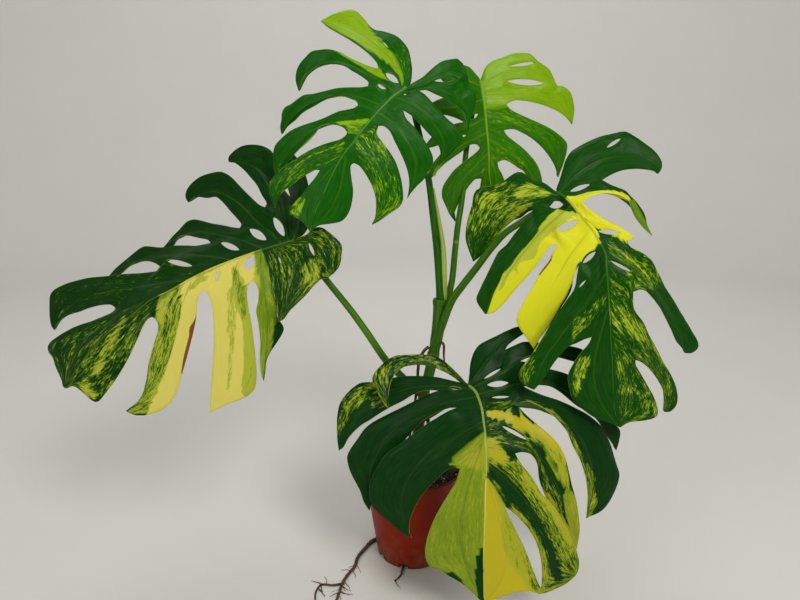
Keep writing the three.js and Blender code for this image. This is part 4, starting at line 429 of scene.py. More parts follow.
TISSUE_FRONT = [
    (0.38, 0.1, 3, [(370, 410), (370, 378), (382, 358), (396, 352), (425, 352), (447, 363), (471, 386),
    (454, 380), (425, 362), (398, 373), (389, 388), (390, 410)]),
    (0.38, 0, 4, [(334, 432), (340, 400), (351, 384), (375, 380), (372, 396), (351, 416), (339, 440)]),
    # The lime half of the last lobe, yellower at its foot, with two green patches.
    (0.497, 1, 1.2, [(484, 432), (470, 438.5), (455.6, 449.6), (447.5, 467.6), (453.6, 466.6), (460, 470),
    (450, 483), (435, 505), (419, 533), (417, 555), (421, 570), (445, 578), (466, 590), (476, 603),
    (485, 604), (484, 561), (485.7, 521), (487, 478)]),
    (0.545, 1, 5, [(490, 437), (476, 443), (464, 453), (457, 463), (466, 467), (480, 470), (490, 474)]),
    (0, 0, 1, [(482.7, 547), (477, 559), (476, 581), (479, 599), (486, 604), (485, 571)]),
    (0, 0, 1, [(445, 573), (452, 572), (460, 579), (465, 588), (456, 584)]),
    # The lobes on the right, from the leaf's base down.
    (0.44, 0.1, 1.5, [(514, 397), (532, 399), (552, 408), (566, 424), (578, 444), (586, 460), (594, 472),
    (596, 488), (598, 501), (590, 518), (584, 519), (585, 493), (581, 469), (571, 444), (562, 424),
    (550, 414), (526, 400)]),
    (0.36, 0, 3, [(483, 400), (516, 400), (524, 410), (506, 410), (486, 412)]),
    (0.35, 0.1, 3, [(486, 418), (516, 424), (538, 449), (546, 473), (560, 491), (566, 521), (560, 513),
    (542, 491), (538, 469), (526, 451), (514, 449), (488, 441)]),
    (0.9, 0.8, 1.2, [(484.7, 411.5), (496, 410.5), (508, 412), (518, 414), (534, 422), (550, 434),
    (562, 447), (566, 458), (562, 464), (555, 455), (542, 443), (523, 431), (506, 421), (486, 416.5)]),
    (0.58, 0.3, 1.5, [(523, 426), (542, 438), (558, 450), (567, 462), (570, 480), (567, 495), (562, 481),
    (556, 465), (542, 447), (530, 437)]),
    (0.52, 1, 1.2, [(542, 446), (552, 459), (559, 473), (565, 491), (562, 487), (554, 475), (546, 461)]),
    (0.53, 1, 1.2, [(562, 493), (569, 487), (575, 493), (580, 513), (582, 529), (581, 547), (577, 554),
    (569, 531), (565, 513)]),
    (0.45, 0.1, 2, [(488, 459), (514, 459), (518, 456), (527, 466), (540, 485), (556, 505), (568, 527),
    (578, 549), (582, 565), (577, 580), (558, 592), (538, 597), (520, 592), (542, 589), (547.6, 575),
    (546, 553), (534, 533), (518, 513), (504, 497), (494, 481)]),
    (0.66, 0.2, 3, [(487, 436), (498, 442), (506, 451), (510, 458), (502, 463), (489, 458)]),
    (0.64, 0.2, 2, [(522, 466), (532, 478), (548, 494), (564, 518), (577, 543), (581, 560), (575, 554),
    (562, 532), (547, 510), (530, 488), (522, 476)]),
    (0.2, 0, 2.5, [(489, 465), (500, 469), (514, 483), (528, 501), (540, 519), (548, 537), (558, 561),
    (562, 579), (556, 583), (550, 567), (545, 547), (532, 527), (516, 511), (504, 495), (493, 477)]),
    (0.52, 0.1, 2, [(504, 503), (513, 506), (523, 515), (534, 528), (543, 543), (549, 562), (551, 580),
    (545, 592), (539, 590), (541, 570), (536, 548), (525, 530)]),
    # The yellow half of the last lobe, marbled along its right margin.
    (0.97, 0.9, 1.2, [(485, 474), (493, 486), (503, 501), (512, 521), (522, 541), (532, 561), (540, 589),
    (528, 596), (512, 598), (494, 604), (484, 604), (484, 571), (484, 541), (485, 511)]),
    (0.58, 0.6, 8, [(486, 476), (494, 480), (507, 505), (517, 521), (527, 545), (535, 567), (543, 592),
    (532, 594), (522, 581), (510, 565), (502, 545), (500, 523), (498, 503)]),
    (0.5, 0.1, 3, [(524, 552), (532, 560), (541, 588), (534, 592), (528, 574)]),
]
# Dry brown tissue at torn margins.
SCAR_LEFT = [(197, 314), (196, 330), (192, 350), (186, 374), (181, 374), (184, 356), (189, 336), (189.5, 328)]
SCAR_RIGHT = [(552.5, 254), (553.5, 258), (546, 268), (539, 277), (538, 274), (546, 262)]

# Leaf blades: steps of a lobe from the midrib to its tip, of the line to a sinus and of a margin, and where
# the lines lie that run along a lobe, from its near margin, 0, to its far one, 1, close together at its vein.
ROWS, SEAM_STEPS, MARGIN_STEPS = 52, 18, 44
LANES = (0, 0.1, 0.21, 0.32, 0.41, 0.465, 0.49, 0.5, 0.51, 0.535, 0.59, 0.68, 0.79, 0.9, 1)
MIDRIB_STEPS, HEADING = 200, 0.02
# Steps of a smooth line between two of its points, of a seam's two ends beside a hole, and of a short slit.
LINE_STEPS, SEAM_ENDS, SLIT_STEPS = 24, 7, 4
# The strip of blade at the midrib: its width at the stalk and at the tip, and the share over which it opens.
RIB_FOOT, RIB_TIP, RIB_START = 5, 1.2, 0.03
# How far a lobe arches forward between its margins, and how full a hole's outline is.
LOBE_CAMBER, HOLE_FULLNESS = 2.5, 0.7
# The midrib's rod: its height above and below the blade at the stalk and at the tip, how fast it thins, how
# flat its top is, and how many millimetres of grain lie round it.
RIB_ABOVE, RIB_BELOW, RIB_THINNING, RIB_FLATNESS, RIB_GIRTH = (1.3, 0.8), (3.2, 1.1), 0.7, 0.25, 12
# How often a lobe's vein is eased, so that it runs to the tip in one sweep, and how often the depth is where
# lobes fold, and the share of a lobe over which its lines settle from the midrib.
VEIN_EASE, DEPTH_EASE, LOBE_SETTLE = 160, 24, 0.15
BLADE_THICK, MARGIN_THICK = 1.2, 0.7
# How deep a lobe's vein lies in the upper face, how far it stands out below and how it fades towards the tip,
# the fold beside it, and how the blade waves.
VEIN_DEPTH, VEIN_WIDTH, VEIN_BODY, VEIN_FADE = 0.35, 0.8, 0.9, 0.8
FOLD_DEPTH, FOLD_WIDTH, FOLD_ROUNDNESS = 0.8, 6, 0.6
WAVE, RIPPLE, WAVE_LENGTH, RIPPLE_LENGTH = 1.3, 0.35, 38, 11
# What sets one half's grain apart from the other's, and how far off its vein the midrib's strip counts.
SECOND_SIDE_SHIFT, OFF_VEIN = 1000, 1000
# How far the rim bulges, as a share of the blade's thickness, and how soft a scar's edge is in frame units.
RIM_BULGE, SCAR_SOFTNESS = 0.3, 8
# Below this angle, in degrees, an edge between two faces looks smooth.
BLADE_SMOOTH, ROD_SMOOTH, POT_SMOOTH, SOIL_SMOOTH = 75, 60, 35, 40


def blend(a, b, share):
    return a + (b - a) * share


def unit(vectors):
    """The same directions with length 1."""
    length = np.linalg.norm(vectors, axis=-1, keepdims=True)
    return vectors / np.maximum(length, 1e-9)


def run_of(line):
    """How far along a line each of its points lies."""
    return np.concatenate([[0], np.cumsum(np.linalg.norm(np.diff(line, axis=0), axis=1))])


def at_shares(line, shares):
    """The places at these shares of a line's length."""
    run = run_of(line)
    return np.stack([np.interp(np.asarray(shares) * run[-1], run, column) for column in line.T], axis=-1)


def smooth_line(points, steps):
    """A smooth curve through points, in equal steps of its length."""
    points = np.asarray(points, float)
    ends = [2 * points[0] - points[1], *points, 2 * points[-1] - points[-2]]
    share = np.linspace(0, 1, LINE_STEPS, endpoint=False)[:, None]
    fine = []
    for a, b, c, d in zip(ends, ends[1:], ends[2:], ends[3:]):
        before, here, after = (max(np.linalg.norm(q - p) ** 0.5, 1e-4) for p, q in ((a, b), (b, c), (c, d)))
        leave = ((b - a) / before - (c - a) / (before + here) + (c - b) / here) * here
        arrive = ((c - b) / here - (d - b) / (here + after) + (d - c) / after) * here
        fine.append(b + leave * share + (3 * (c - b) - 2 * leave - arrive) * share**2
                    + (2 * (b - c) + leave + arrive) * share**3)
    return at_shares(np.vstack([*fine, points[-1:]]), np.linspace(0, 1, steps + 1))


def with_depth(points):
    """Gives each point of a margin a depth: where none is written it runs evenly between its neighbours."""
    flat = np.array([point[:2] for point in points], float)
    run = run_of(flat)
    known = [i for i, point in enumerate(points) if len(point) > 2]
    return np.column_stack([flat, np.interp(run, run[known], [points[i][2] for i in known])])


class Midrib:
    """A leaf's midrib, by the share along it from its stalk, 0, to its tip, 1."""

    def __init__(self, points):
        self.line = smooth_line(points, MIDRIB_STEPS)

    def at(self, share):
        steps = np.linspace(0, 1, MIDRIB_STEPS + 1)
        return np.array([np.interp(share, steps, column) for column in self.line.T])

    def share_at(self, place):
        return int(np.argmin(np.linalg.norm(self.line[:, :2] - place, axis=1))) / MIDRIB_STEPS

    def rail(self, share, side):
        """The edge of the midrib on one side of it."""
        middle = self.at(share)
        ahead = self.at(min(share + HEADING, 1)) - self.at(max(share - HEADING, 0))
        across = unit(np.array([-ahead[1], ahead[0]]))
        width = 0 if share >= 1 else min(share / RIB_START, 1) * blend(RIB_FOOT, RIB_TIP, share)
        one_unit = np.linalg.norm(sight(middle + (1, 0, 0)) - sight(middle))
        reach = side * width / one_unit / 2
        return middle + (across[0] * reach, across[1] * reach, 0)


def seam(start, sinus, hole, towards_base):
    """The line from the midrib to a sinus, as the lobe before it and the one after it have it: they part
    round the hole."""
    end = np.array(sinus, float)
    if not hole:
        line = blend(start, end, np.linspace(0, 1, SEAM_STEPS + 1)[:, None])
        return line, line
    u_in, v_in, u_out, v_out, width = hole[:5]
    bend = hole[5] if len(hole) > 5 else 0
    reach = np.linalg.norm(end - start)

    def on_seam(u, v):
        share = math.hypot(u - start[0], v - start[1]) / reach
        return np.array([u, v, blend(start[2], end[2], share)])

    inner, outer = on_seam(u_in, v_in), on_seam(u_out, v_out)
    across = unit(np.array([v_in - v_out, u_out - u_in, 0.0]))
    if across @ towards_base < 0:
        across = -across
    steps = max(SEAM_STEPS, int(math.hypot(u_out - u_in, v_out - v_in)))
    share = np.linspace(0, 1, steps + 1)[:, None]
    roundness = np.maximum(np.sin(np.pi * share), 0)
    ends = np.linspace(0, 1, SEAM_ENDS)[:, None]
    lead, tail = blend(start, inner, ends[:-1]), blend(outer, end, ends[1:])
    edges = []
    for side in (1, -1):
        shift = bend * roundness + side * width / 2 * roundness**HOLE_FULLNESS
        edges.append(np.vstack([lead, blend(inner, outer, share) + shift * across, tail]))
    return edges


def parted(line, slit, before, after):
    """Two copies of a lobe's line that part along a slit, if the slit runs beside this line."""
    u_in, v_in, u_out, v_out, width = slit
    ends = np.array([[u_in, v_in], [u_out, v_out]])
    first, final = (int(np.argmin(np.linalg.norm(line[:, :2] - end, axis=1))) for end in ends)
    if final < first:
        first, final = final, first
        ends = ends[::-1]
    final = max(final, first + SLIT_STEPS)
    share = np.linspace(0, 1, final - first + 1)[:, None]
    across = unit(np.array([ends[0, 1] - ends[1, 1], ends[1, 0] - ends[0, 0]]))
    if across @ (after[first, :2] - before[first, :2]) < 0:
        across = -across
    middle = blend(ends[0], ends[1], share)
    opening = across * width / 2 * np.sin(np.pi * share) ** HOLE_FULLNESS
    copies = []
    for sign in (-1, 1):
        copy = line.copy()
        copy[first:final + 1, :2] = middle + sign * opening
        copies.append(copy)
    return copies


def eased(line, rounds):
    """A line with its kinks smoothed out, its ends held."""
    line = line.copy()
    for step in range(rounds):
        line[1:-1] = blend(line[1:-1], (line[:-2] + line[2:]) / 2, 0.5)
    return line


def lobe_lanes(proximal, distal, slit, foot_line, camber):
    """The lines that run along a lobe, each as the strips before and after it have it, with its place."""
    shares = np.linspace(0, 1, ROWS + 1)
    near, far = at_shares(proximal, shares), at_shares(distal, shares)
    settle = np.clip(1 - shares / LOBE_SETTLE, 0, 1)[:, None] ** 2
    vein = blend(near, far, 0.5)
    if foot_line is not None:
        vein[0] = foot_line(0.5)
    vein = eased(vein, VEIN_EASE)
    inner = []
    for place in LANES[1:-1]:
        line = blend(near, vein, place * 2) if place <= 0.5 else blend(vein, far, place * 2 - 1)
        line[:, 2] -= camber * math.sin(math.pi * place) ** 2 * np.sin(np.pi * shares)
        if foot_line is not None:
            line += settle * (foot_line(place) - line[0])
        inner.append(line)
    doubled = [(line, line) for line in inner]
    if slit:
        middle = np.array([(slit[0] + slit[2]) / 2, (slit[1] + slit[3]) / 2])
        gaps = [np.min(np.linalg.norm(line[:, :2] - middle, axis=1)) for line in inner]
        best = min(max(int(np.argmin(gaps)), 1), len(inner) - 2)
        doubled[best] = tuple(parted(inner[best], slit, inner[best - 1], inner[best + 1]))
    lines = [(proximal, proximal), *doubled, (distal, distal)]
    width = np.linalg.norm(sight(near) - sight(far), axis=1)
    return list(zip(LANES, lines)), width


def half_blade(midrib, lobes, side):
    """One half of a blade: strips between two lines that run out from the midrib, and the midrib's edge."""
    start = midrib.rail(0, side)
    begin, inner, sinus, grain = 0, None, start, 0
    strips, rail = [], [start]
    for lobe in lobes:
        final = "tip" not in lobe
        end = 1 if final else midrib.share_at(lobe["root"])
        tip = midrib.at(1) if final else lobe["tip"]
        near = smooth_line(with_depth([sinus, *lobe["near"], tip]), MARGIN_STEPS)
        proximal = near if inner is None else np.vstack([inner, near[1:]])
        foot_line = None
        if final:
            distal = np.array([midrib.rail(share, side) for share in np.linspace(begin, 1, ROWS + 1)])
        else:
            towards_base = midrib.at(max(end - HEADING, 0)) - midrib.at(min(end + HEADING, 1))
            towards_base[2] = 0
            before, inner = seam(midrib.rail(end, side), lobe["sinus"], lobe.get("hole"), towards_base)
            far = smooth_line(with_depth([lobe["sinus"], *reversed(lobe["far"]), tip]), MARGIN_STEPS)
            distal = np.vstack([before, far[1:]])
            sinus = lobe["sinus"]
            foot_line = lambda place, a=begin, b=end: midrib.rail(blend(a, b, place), side)
        camber = 0 if final else LOBE_CAMBER
        lanes, width = lobe_lanes(proximal, distal, lobe.get("slit"), foot_line, camber)
        breadth = float(np.median(width[ROWS // 5:ROWS * 3 // 5]))
        rows = [[row_data(line, place, grain, breadth, width, final) for line in pair]
                for place, pair in lanes]
        strips += [(a[1], b[0]) for a, b in zip(rows, rows[1:])]
        rail += list(distal[1:]) if final else [pair[0][0] for place, pair in lanes[1:]]
        grain += breadth
        begin = end
    return strips, rail


def row_data(line, place, grain, breadth, width, final):
    """A line's points with the share along it, its grain across and along, its distance to the vein, and how
    free of the midrib it is."""
    share = run_of(line) / run_of(line)[-1]
    across = np.full(len(line), grain + place * breadth)
    along = run_of(sight(line))
    to_vein = abs(place - 0.5) * np.interp(share, np.linspace(0, 1, ROWS + 1), width)
    free = share * (1 - place**2) if final else share
    return np.column_stack([line, share, across, along, to_vein, free])


class Sheet:
    """A blade as one thin layer of triangles, with its points' data."""

    def __init__(self):
        self.rows, self.index, self.faces = [], {}, []

    def place(self, row):
        key = (round(row[0], 3), round(row[1], 3), round(row[2], 3))
        if key not in self.index:
            self.index[key] = len(self.rows)
            self.rows.append(row)
        return self.index[key]

    def add(self, a, b, c):
        if a != b and b != c and c != a:
            self.faces.append((a, b, c))

    def fill(self, first, second, side):
        """Triangles between two lines that run side by side, always taking the step that comes first."""
        a, b = ([self.place(row) for row in line] for line in (first, second))
        i = j = 0
        while i < len(a) - 1 or j < len(b) - 1:
            next_a = first[i + 1][3] if i < len(a) - 1 else math.inf
            next_b = second[j + 1][3] if j < len(b) - 1 else math.inf
            if next_a <= next_b:
                corners = (a[i], a[i + 1], b[j])
                i += 1
            else:
                corners = (a[i], b[j + 1], b[j])
                j += 1
            self.add(*(corners if side > 0 else corners[::-1]))

    def fill_midrib(self, left, right):
        """Triangles between the two edges of the midrib, always taking the shorter next step."""
        spots = [sight(np.array(line)) for line in (left, right)]
        a, b = ([self.place(np.array([*p, 0, 0, 0, OFF_VEIN, 0])) for p in line] for line in (left, right))
        i = j = 0
        while i < len(a) - 1 or j < len(b) - 1:
            step_a = np.linalg.norm(spots[0][i + 1] - spots[1][j]) if i < len(a) - 1 else math.inf
            step_b = np.linalg.norm(spots[0][i] - spots[1][j + 1]) if j < len(b) - 1 else math.inf
            if step_a <= step_b:
                self.add(a[i], b[j], a[i + 1])
                i += 1
            else:
                self.add(a[i], b[j], b[j + 1])
                j += 1
        self.fixed = set(a) | set(b)


def inside_share(places, outline, soft):
    """1 inside a closed outline and 0 outside it, with an edge that is `soft` frame units wide."""
    a = np.array(outline, float)
    b = np.roll(a, -1, axis=0)
    along = b - a
    offset = places[:, None, :] - a[None]
    share = np.clip((offset * along).sum(-1) / (along**2).sum(-1), 0, 1)
    gap = np.linalg.norm(offset - share[..., None] * along, axis=-1).min(axis=1)
    u, v = places[:, 0, None], places[:, 1, None]
    spans = (a[:, 1] > v) != (b[:, 1] > v)
    rise = np.where(along[:, 1] == 0, 1, along[:, 1])
    crossing = a[:, 0] + (v - a[:, 1]) * along[:, 0] / rise
    inside = (spans & (u < crossing)).sum(axis=1) % 2 == 1
    return np.clip(0.5 + np.where(inside, gap, -gap) / soft, 0, 1)


def tissue(places, outlines):
    """The share of yellow and how lime the green is, at each place on a leaf."""
    yellow, lime = np.zeros(len(places)), np.zeros(len(places))
    for yellow_share, lime_share, soft, outline in outlines:
        weight = inside_share(places, outline, soft)
        yellow = blend(yellow, yellow_share, weight)
        lime = blend(lime, lime_share, weight)
    return yellow, lime


def low_noise(spots, length, seed):
    """Smooth noise, from about -1 to 1, that varies over `length` millimetres."""
    shift = Vector((seed * 17.3, seed * 5.1, 0))
    return np.array([noise.noise(Vector(spot) / length + shift) for spot in spots])


def leaf_sheet(outline):
    """A leaf's thin layer, its depth eased across the folds between lobes."""
    midrib = Midrib(outline["midrib"])
    sheet = Sheet()
    rails = {}
    for which, lobes in enumerate(outline["sides"]):
        side = outline["first_side"] if which == 0 else -outline["first_side"]
        strips, rails[side] = half_blade(midrib, lobes, side)
        for pair in strips:
            first, second = (line + (0, 0, 0, 0, SECOND_SIDE_SHIFT * which, 0, 0, 0) for line in pair)
            sheet.fill(first, second, side)
    sheet.fill_midrib(rails[-1], rails[1])
    rows, faces = np.array(sheet.rows), np.array(sheet.faces)
    edges = np.vstack([faces[:, [0, 1]], faces[:, [1, 2]], faces[:, [2, 0]]])
    known = {(int(p), int(q)) for p, q in edges}
    rim = np.array([edge for edge in known if (edge[1], edge[0]) not in known])
    rim = rim[np.lexsort((rim[:, 1], rim[:, 0]))]
    still = np.zeros(len(rows), bool)
    still[rim.ravel()] = True
    still[list(sheet.fixed)] = True
    count = np.bincount(edges[:, 0], minlength=len(rows))
    for step in range(DEPTH_EASE):
        around = np.bincount(edges[:, 0], rows[edges[:, 1], 2], minlength=len(rows)) / np.maximum(count, 1)
        rows[:, 2] = np.where(still | (count == 0), rows[:, 2], blend(rows[:, 2], around, 0.5))
    return midrib, rows, faces, rim


def new_piece(name, spots, faces, materials, face_materials=None, data=None):
    """A mesh object from places in millimetres, with its materials and its points' data."""
    mesh = bpy.data.meshes.new(name)
    mesh.from_pydata((np.asarray(spots) * MM).tolist(), [], [tuple(int(i) for i in face) for face in faces])
    for material in materials:
        mesh.materials.append(material)
    if face_materials is not None:
        mesh.polygons.foreach_set("material_index", np.asarray(face_materials, np.int32))
    for key, values in (data or {}).items():
        values = np.asarray(values, np.float32)
        kind, field = ("FLOAT_VECTOR", "vector") if values.ndim == 2 else ("FLOAT", "value")
        mesh.attributes.new(key, kind, "POINT").data.foreach_set(field, values.ravel())
    mesh.validate()
    mesh.update()
    piece = bpy.data.objects.new(name, mesh)
    bpy.context.scene.collection.objects.link(piece)
    return piece


def only(piece):
    """Makes a piece the only selected one."""
    bpy.ops.object.select_all(action="DESELECT")
    piece.select_set(True)
    bpy.context.view_layer.objects.active = piece


def smooth_by_angle(piece, degrees):
    only(piece)
    bpy.ops.object.shade_smooth_by_angle(angle=math.radians(degrees))


def finished(piece, smooth, slot, node):
    """Smooths a piece and sets it in the frame: on the plant's body, in place of its node. Its slot is not
    used.
    """
    smooth_by_angle(piece, smooth)
    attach(piece, "root")
    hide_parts(node)


def point_normals(spots, faces):
    corners = spots[faces]
    area = np.cross(corners[:, 1] - corners[:, 0], corners[:, 2] - corners[:, 0])
    normals = np.zeros_like(spots)
    for corner in range(3):
        np.add.at(normals, faces[:, corner], area)
    return unit(normals)


def closed_skin(spots, normals, faces, rim, rise, thick):
    """A thin layer made into a closed body: an upper skin raised by `rise`, a lower one, and a round rim."""
    count = len(spots)
    upper = spots + normals * rise[:, None]
    lower = upper - normals * thick[:, None]
    out = np.zeros_like(spots)
    side = np.cross(spots[rim[:, 1]] - spots[rim[:, 0]], normals[rim[:, 0]])
    for corner in range(2):
        np.add.at(out, rim[:, corner], unit(side))
    edge = np.unique(rim)
    number = np.zeros(count, int)
    number[edge] = np.arange(len(edge)) + 2 * count
    middle = (upper + lower)[edge] / 2 + unit(out[edge]) * thick[edge, None] * RIM_BULGE
    p, q = rim[:, 0], rim[:, 1]
    mid_p, mid_q = number[p], number[q]
    round_rim = [*zip(q, p, mid_p, mid_q), *zip(mid_q, mid_p, p + count, q + count)]
    all_faces = [*faces, *(faces[:, ::-1] + count), *round_rim]
    kinds = [0] * len(faces) + [1] * len(faces) + [2] * len(round_rim)
    return np.vstack([upper, lower, middle]), all_faces, kinds, edge


# Where rings of the midrib's rod lie, as shares of its length, and how far beside it, in frame units, the
# tissue counts that lends it its colour.
RIB_RINGS, RIB_SIDES, RIB_LOOK = 131, 14, 2.5
RIB_SHARES = np.linspace(0.004, 0.995, RIB_RINGS)


def rib_yellow(midrib, outlines):
    """The share of yellow in the tissue beside the midrib, on its yellower side."""
    middle = np.array([midrib.at(share)[:2] for share in RIB_SHARES])
    along = unit(np.gradient(middle, axis=0))
    across = np.column_stack([-along[:, 1], along[:, 0]]) * RIB_LOOK
    return np.maximum(tissue(middle + across, outlines)[0], tissue(middle - across, outlines)[0])


def midrib_rod(midrib, facing, foot_width):
    """The leaf's midrib: flat and low above, a rounded keel below, tapering to the leaf's tip."""
    sides, steps, shares = RIB_SIDES, RIB_RINGS - 1, RIB_SHARES
    middle = sight(np.array([midrib.at(share) for share in shares]))
    left = sight(np.array([midrib.rail(share, 1) for share in shares]))
    right = sight(np.array([midrib.rail(share, -1) for share in shares]))
    along = unit(np.gradient(middle, axis=0))
    across = unit(left - right)
    outward = unit(np.cross(across, along)) * facing
    thinning = shares ** RIB_THINNING
    half = blend(foot_width / 2, RIB_TIP * 0.3, thinning)
    above, below = blend(*RIB_ABOVE, shares), blend(*RIB_BELOW, thinning)
    rings = []
    for turn in np.linspace(0, 2 * math.pi, sides, endpoint=False):
        height = math.sin(turn)
        reach = above if height > 0 else below
        lift = reach * height * (1 - RIB_FLATNESS * (height > 0.9))
        rings.append(middle + across * (half * math.cos(turn))[:, None] + outward * lift[:, None])
    spots = np.stack(rings, axis=1).reshape(-1, 3)
    faces = oriented(spots, tube_faces(steps + 1, sides))
    run = run_of(middle)
    around = np.tile(np.linspace(0, RIB_GIRTH, sides, endpoint=False), steps + 1)
    return spots, faces, np.column_stack([around, np.repeat(run, sides), np.zeros(len(spots))])


def tube_faces(rings, sides):
    """Four-sided faces between the rings of a tube, and a face to close each end."""
    faces = []
    for ring in range(rings - 1):
        for s in range(sides):
            a, b = ring * sides + s, ring * sides + (s + 1) % sides
            faces.append((a, b, b + sides, a + sides))
    faces.append(tuple(range(sides))[::-1])
    faces.append(tuple(range((rings - 1) * sides, rings * sides)))
    return faces


def oriented(spots, faces):
    """The faces of a closed body turned so that they face outward."""
    volume = 0
    for face in faces:
        first = spots[face[0]]
        for a, b in zip(face[1:], face[2:]):
            volume += np.dot(first, np.cross(spots[a], spots[b]))
    return faces if volume > 0 else [face[::-1] for face in faces]


def make_leaf(name, node, outline, outlines, scar, slot, foot_width, looks, seed):
    """A leaf: its blade with veins, folds and waves, and its midrib."""
    midrib, rows, faces, rim = leaf_sheet(outline)
    frame_places = rows[:, :2]
    spots = sight(rows[:, :3])
    normals = point_normals(spots, faces)
    facing = 1
    if normals[:, 1].mean() > 0:
        normals, faces, rim, facing = -normals, faces[:, ::-1], rim[:, ::-1], -1
    to_vein, free = rows[:, 6], np.clip(rows[:, 7], 0, 1)
    taper = np.sin(np.pi * free) ** FOLD_ROUNDNESS
    vein = np.exp(-((to_vein / VEIN_WIDTH) ** 2)) * (1 - VEIN_FADE * free)
    fold = np.exp(-((to_vein / FOLD_WIDTH) ** 2)) * taper
    waves = low_noise(spots, WAVE_LENGTH, seed) * WAVE * free
    ripples = low_noise(spots, RIPPLE_LENGTH, seed + 4) * RIPPLE
    rise = BLADE_THICK / 2 - VEIN_DEPTH * vein - FOLD_DEPTH * fold + FOLD_DEPTH / 2 * taper + waves + ripples
    at_rim = np.zeros(len(spots), bool)
    at_rim[rim.ravel()] = True
    thick = np.where(at_rim, MARGIN_THICK, BLADE_THICK) + VEIN_BODY * vein
    rise = rise - np.where(at_rim, (BLADE_THICK - MARGIN_THICK) / 2, 0)
    skin, skin_faces, kinds, edge = closed_skin(spots, normals, faces, rim, rise, thick)
    yellow, lime = tissue(frame_places, outlines)
    scarred = inside_share(frame_places, scar, SCAR_SOFTNESS) if scar else np.zeros(len(spots))
    grain = np.column_stack([rows[:, 4], rows[:, 5], np.zeros(len(rows))])
    rod_spots, rod_faces, rod_grain = midrib_rod(midrib, facing, foot_width)
    first = len(skin)
    rod_yellow = np.repeat(rib_yellow(midrib, outlines), len(rod_spots) // RIB_RINGS)

    def spread(values, rod_values):
        return np.concatenate([values, values, values[edge], rod_values])

    none = np.zeros(len(rod_spots))
    data = {
        "grain": np.vstack([grain, grain, grain[edge], rod_grain]),
        "yellow": spread(yellow, rod_yellow), "lime": spread(lime, none),
        "vein": spread(vein, none), "scar": spread(scarred, none),
    }
    all_faces = [*skin_faces, *([i + first for i in face] for face in rod_faces)]
    kinds = kinds + [3] * len(rod_faces)
    piece = new_piece(name, np.vstack([skin, rod_spots]), all_faces, looks, kinds, data)
    finished(piece, BLADE_SMOOTH, slot, node)


def tube(line, radii, sides, steps, side_of=None, bump=None):
    """A rod along a line of places in millimetres. `side_of` gives the direction in which its turn begins,
    and `bump` how many times as thick it is at each share of its length and turn round it."""
    middle = smooth_line(line, steps)
    shares = np.linspace(0, 1, steps + 1)
    radius = np.interp(shares, np.linspace(0, 1, len(radii)), radii)
    along = unit(np.gradient(middle, axis=0))
    start = np.array(side_of if side_of is not None else (0, -1, 0), float)
    across = np.zeros_like(middle)
    for i, direction in enumerate(along):
        start = unit(start - direction * (start @ direction))
        across[i] = start
    third = np.cross(along, across)
    turns = np.linspace(0, 2 * math.pi, sides, endpoint=False)
    scale = np.ones((steps + 1, sides)) if bump is None else bump(shares[:, None], turns[None])
    ring = across[:, None] * np.cos(turns)[None, :, None] + third[:, None] * np.sin(turns)[None, :, None]
    spots = (middle[:, None] + ring * (radius[:, None] * scale)[..., None]).reshape(-1, 3)
    faces = oriented(spots, tube_faces(steps + 1, sides))
    run = np.repeat(run_of(middle), sides)
    grain = np.column_stack([np.tile(turns * np.mean(radii), steps + 1), run, np.zeros(len(run))])
    return spots, faces, grain


def linear(colour):
    """A colour written as sRGB hex, in the linear light that shaders take."""
    values = [int(colour[i:i + 2], 16) / 255 for i in (1, 3, 5)]
    return (*(v / 12.92 if v <= 0.04045 else ((v + 0.055) / 1.055) ** 2.4 for v in values), 1)


# The kinds of node that the looks are built of: Blender's name for it, its fixed settings, the inputs that a
# call gives in turn, by name or place, and the output that is used.
MIX = "ShaderNodeMix", {"data_type": "RGBA"}, (0, 6, 7), 2
NOISE = "ShaderNodeTexNoise", {}, ("Vector", "Scale", "Detail", "Roughness"), "Fac"
STRETCH = "ShaderNodeMapping", {}, ("Vector", "Scale"), "Vector"
RAMP = "ShaderNodeValToRGB", {}, ("Fac",), "Color"
RELIEF = "ShaderNodeBump", {}, ("Height", "Strength", "Distance"), "Normal"
PLACE = "ShaderNodeTexCoord", {}, (), "Object"
HEIGHT = "ShaderNodeSeparateXYZ", {}, ("Vector",), "Z"
GRAIN = "ShaderNodeAttribute", {"attribute_name": "grain"}, (), "Vector"
YELLOW, LIME, VEIN, SCAR = (("ShaderNodeAttribute", {"attribute_name": name}, (), "Fac")
                            for name in ("yellow", "lime", "vein", "scar"))
PLUS, LESS, TIMES, TIMES_PLUS, LARGER = (
    ("ShaderNodeMath", {"operation": name}, (0, 1, 2), 0)
    for name in ("ADD", "SUBTRACT", "MULTIPLY", "MULTIPLY_ADD", "MAXIMUM"))


def plug(node, values):
    """Sets a node's inputs, or links them where a value is another node's output."""
    for socket, value in values.items():
        if isinstance(value, bpy.types.NodeSocket):
            node.id_data.links.new(value, node.inputs[socket])
        else:
            node.inputs[socket].default_value = value


def add_node(tree, kind, *inputs, stops=()):
    """Adds a node of a kind with its inputs, and with its stops if it is a ramp, and gives its output."""
    blender_name, settings, sockets, output = kind
    node = tree.nodes.new(blender_name)
    for key, value in settings.items():
        setattr(node, key, value)
    plug(node, dict(zip(sockets, inputs)))
    if stops:
        marks = node.color_ramp.elements
        for _ in stops[2:]:
            marks.new(0.5)
        for mark, (place, colour) in zip(marks, stops):
            mark.position = place
            mark.color = linear(colour)
    return node.outputs[output]


def rising(low, high):
    """A ramp's stops, from nothing at the low place to all at the high one."""
    return (low, "#000000"), (high, "#ffffff")


def new_look(name):
    """A material, what adds nodes to it, and its shader."""
    material = bpy.data.materials.new(name)
    material.use_nodes = True
    return material, partial(add_node, material.node_tree), material.node_tree.nodes["Principled BSDF"]


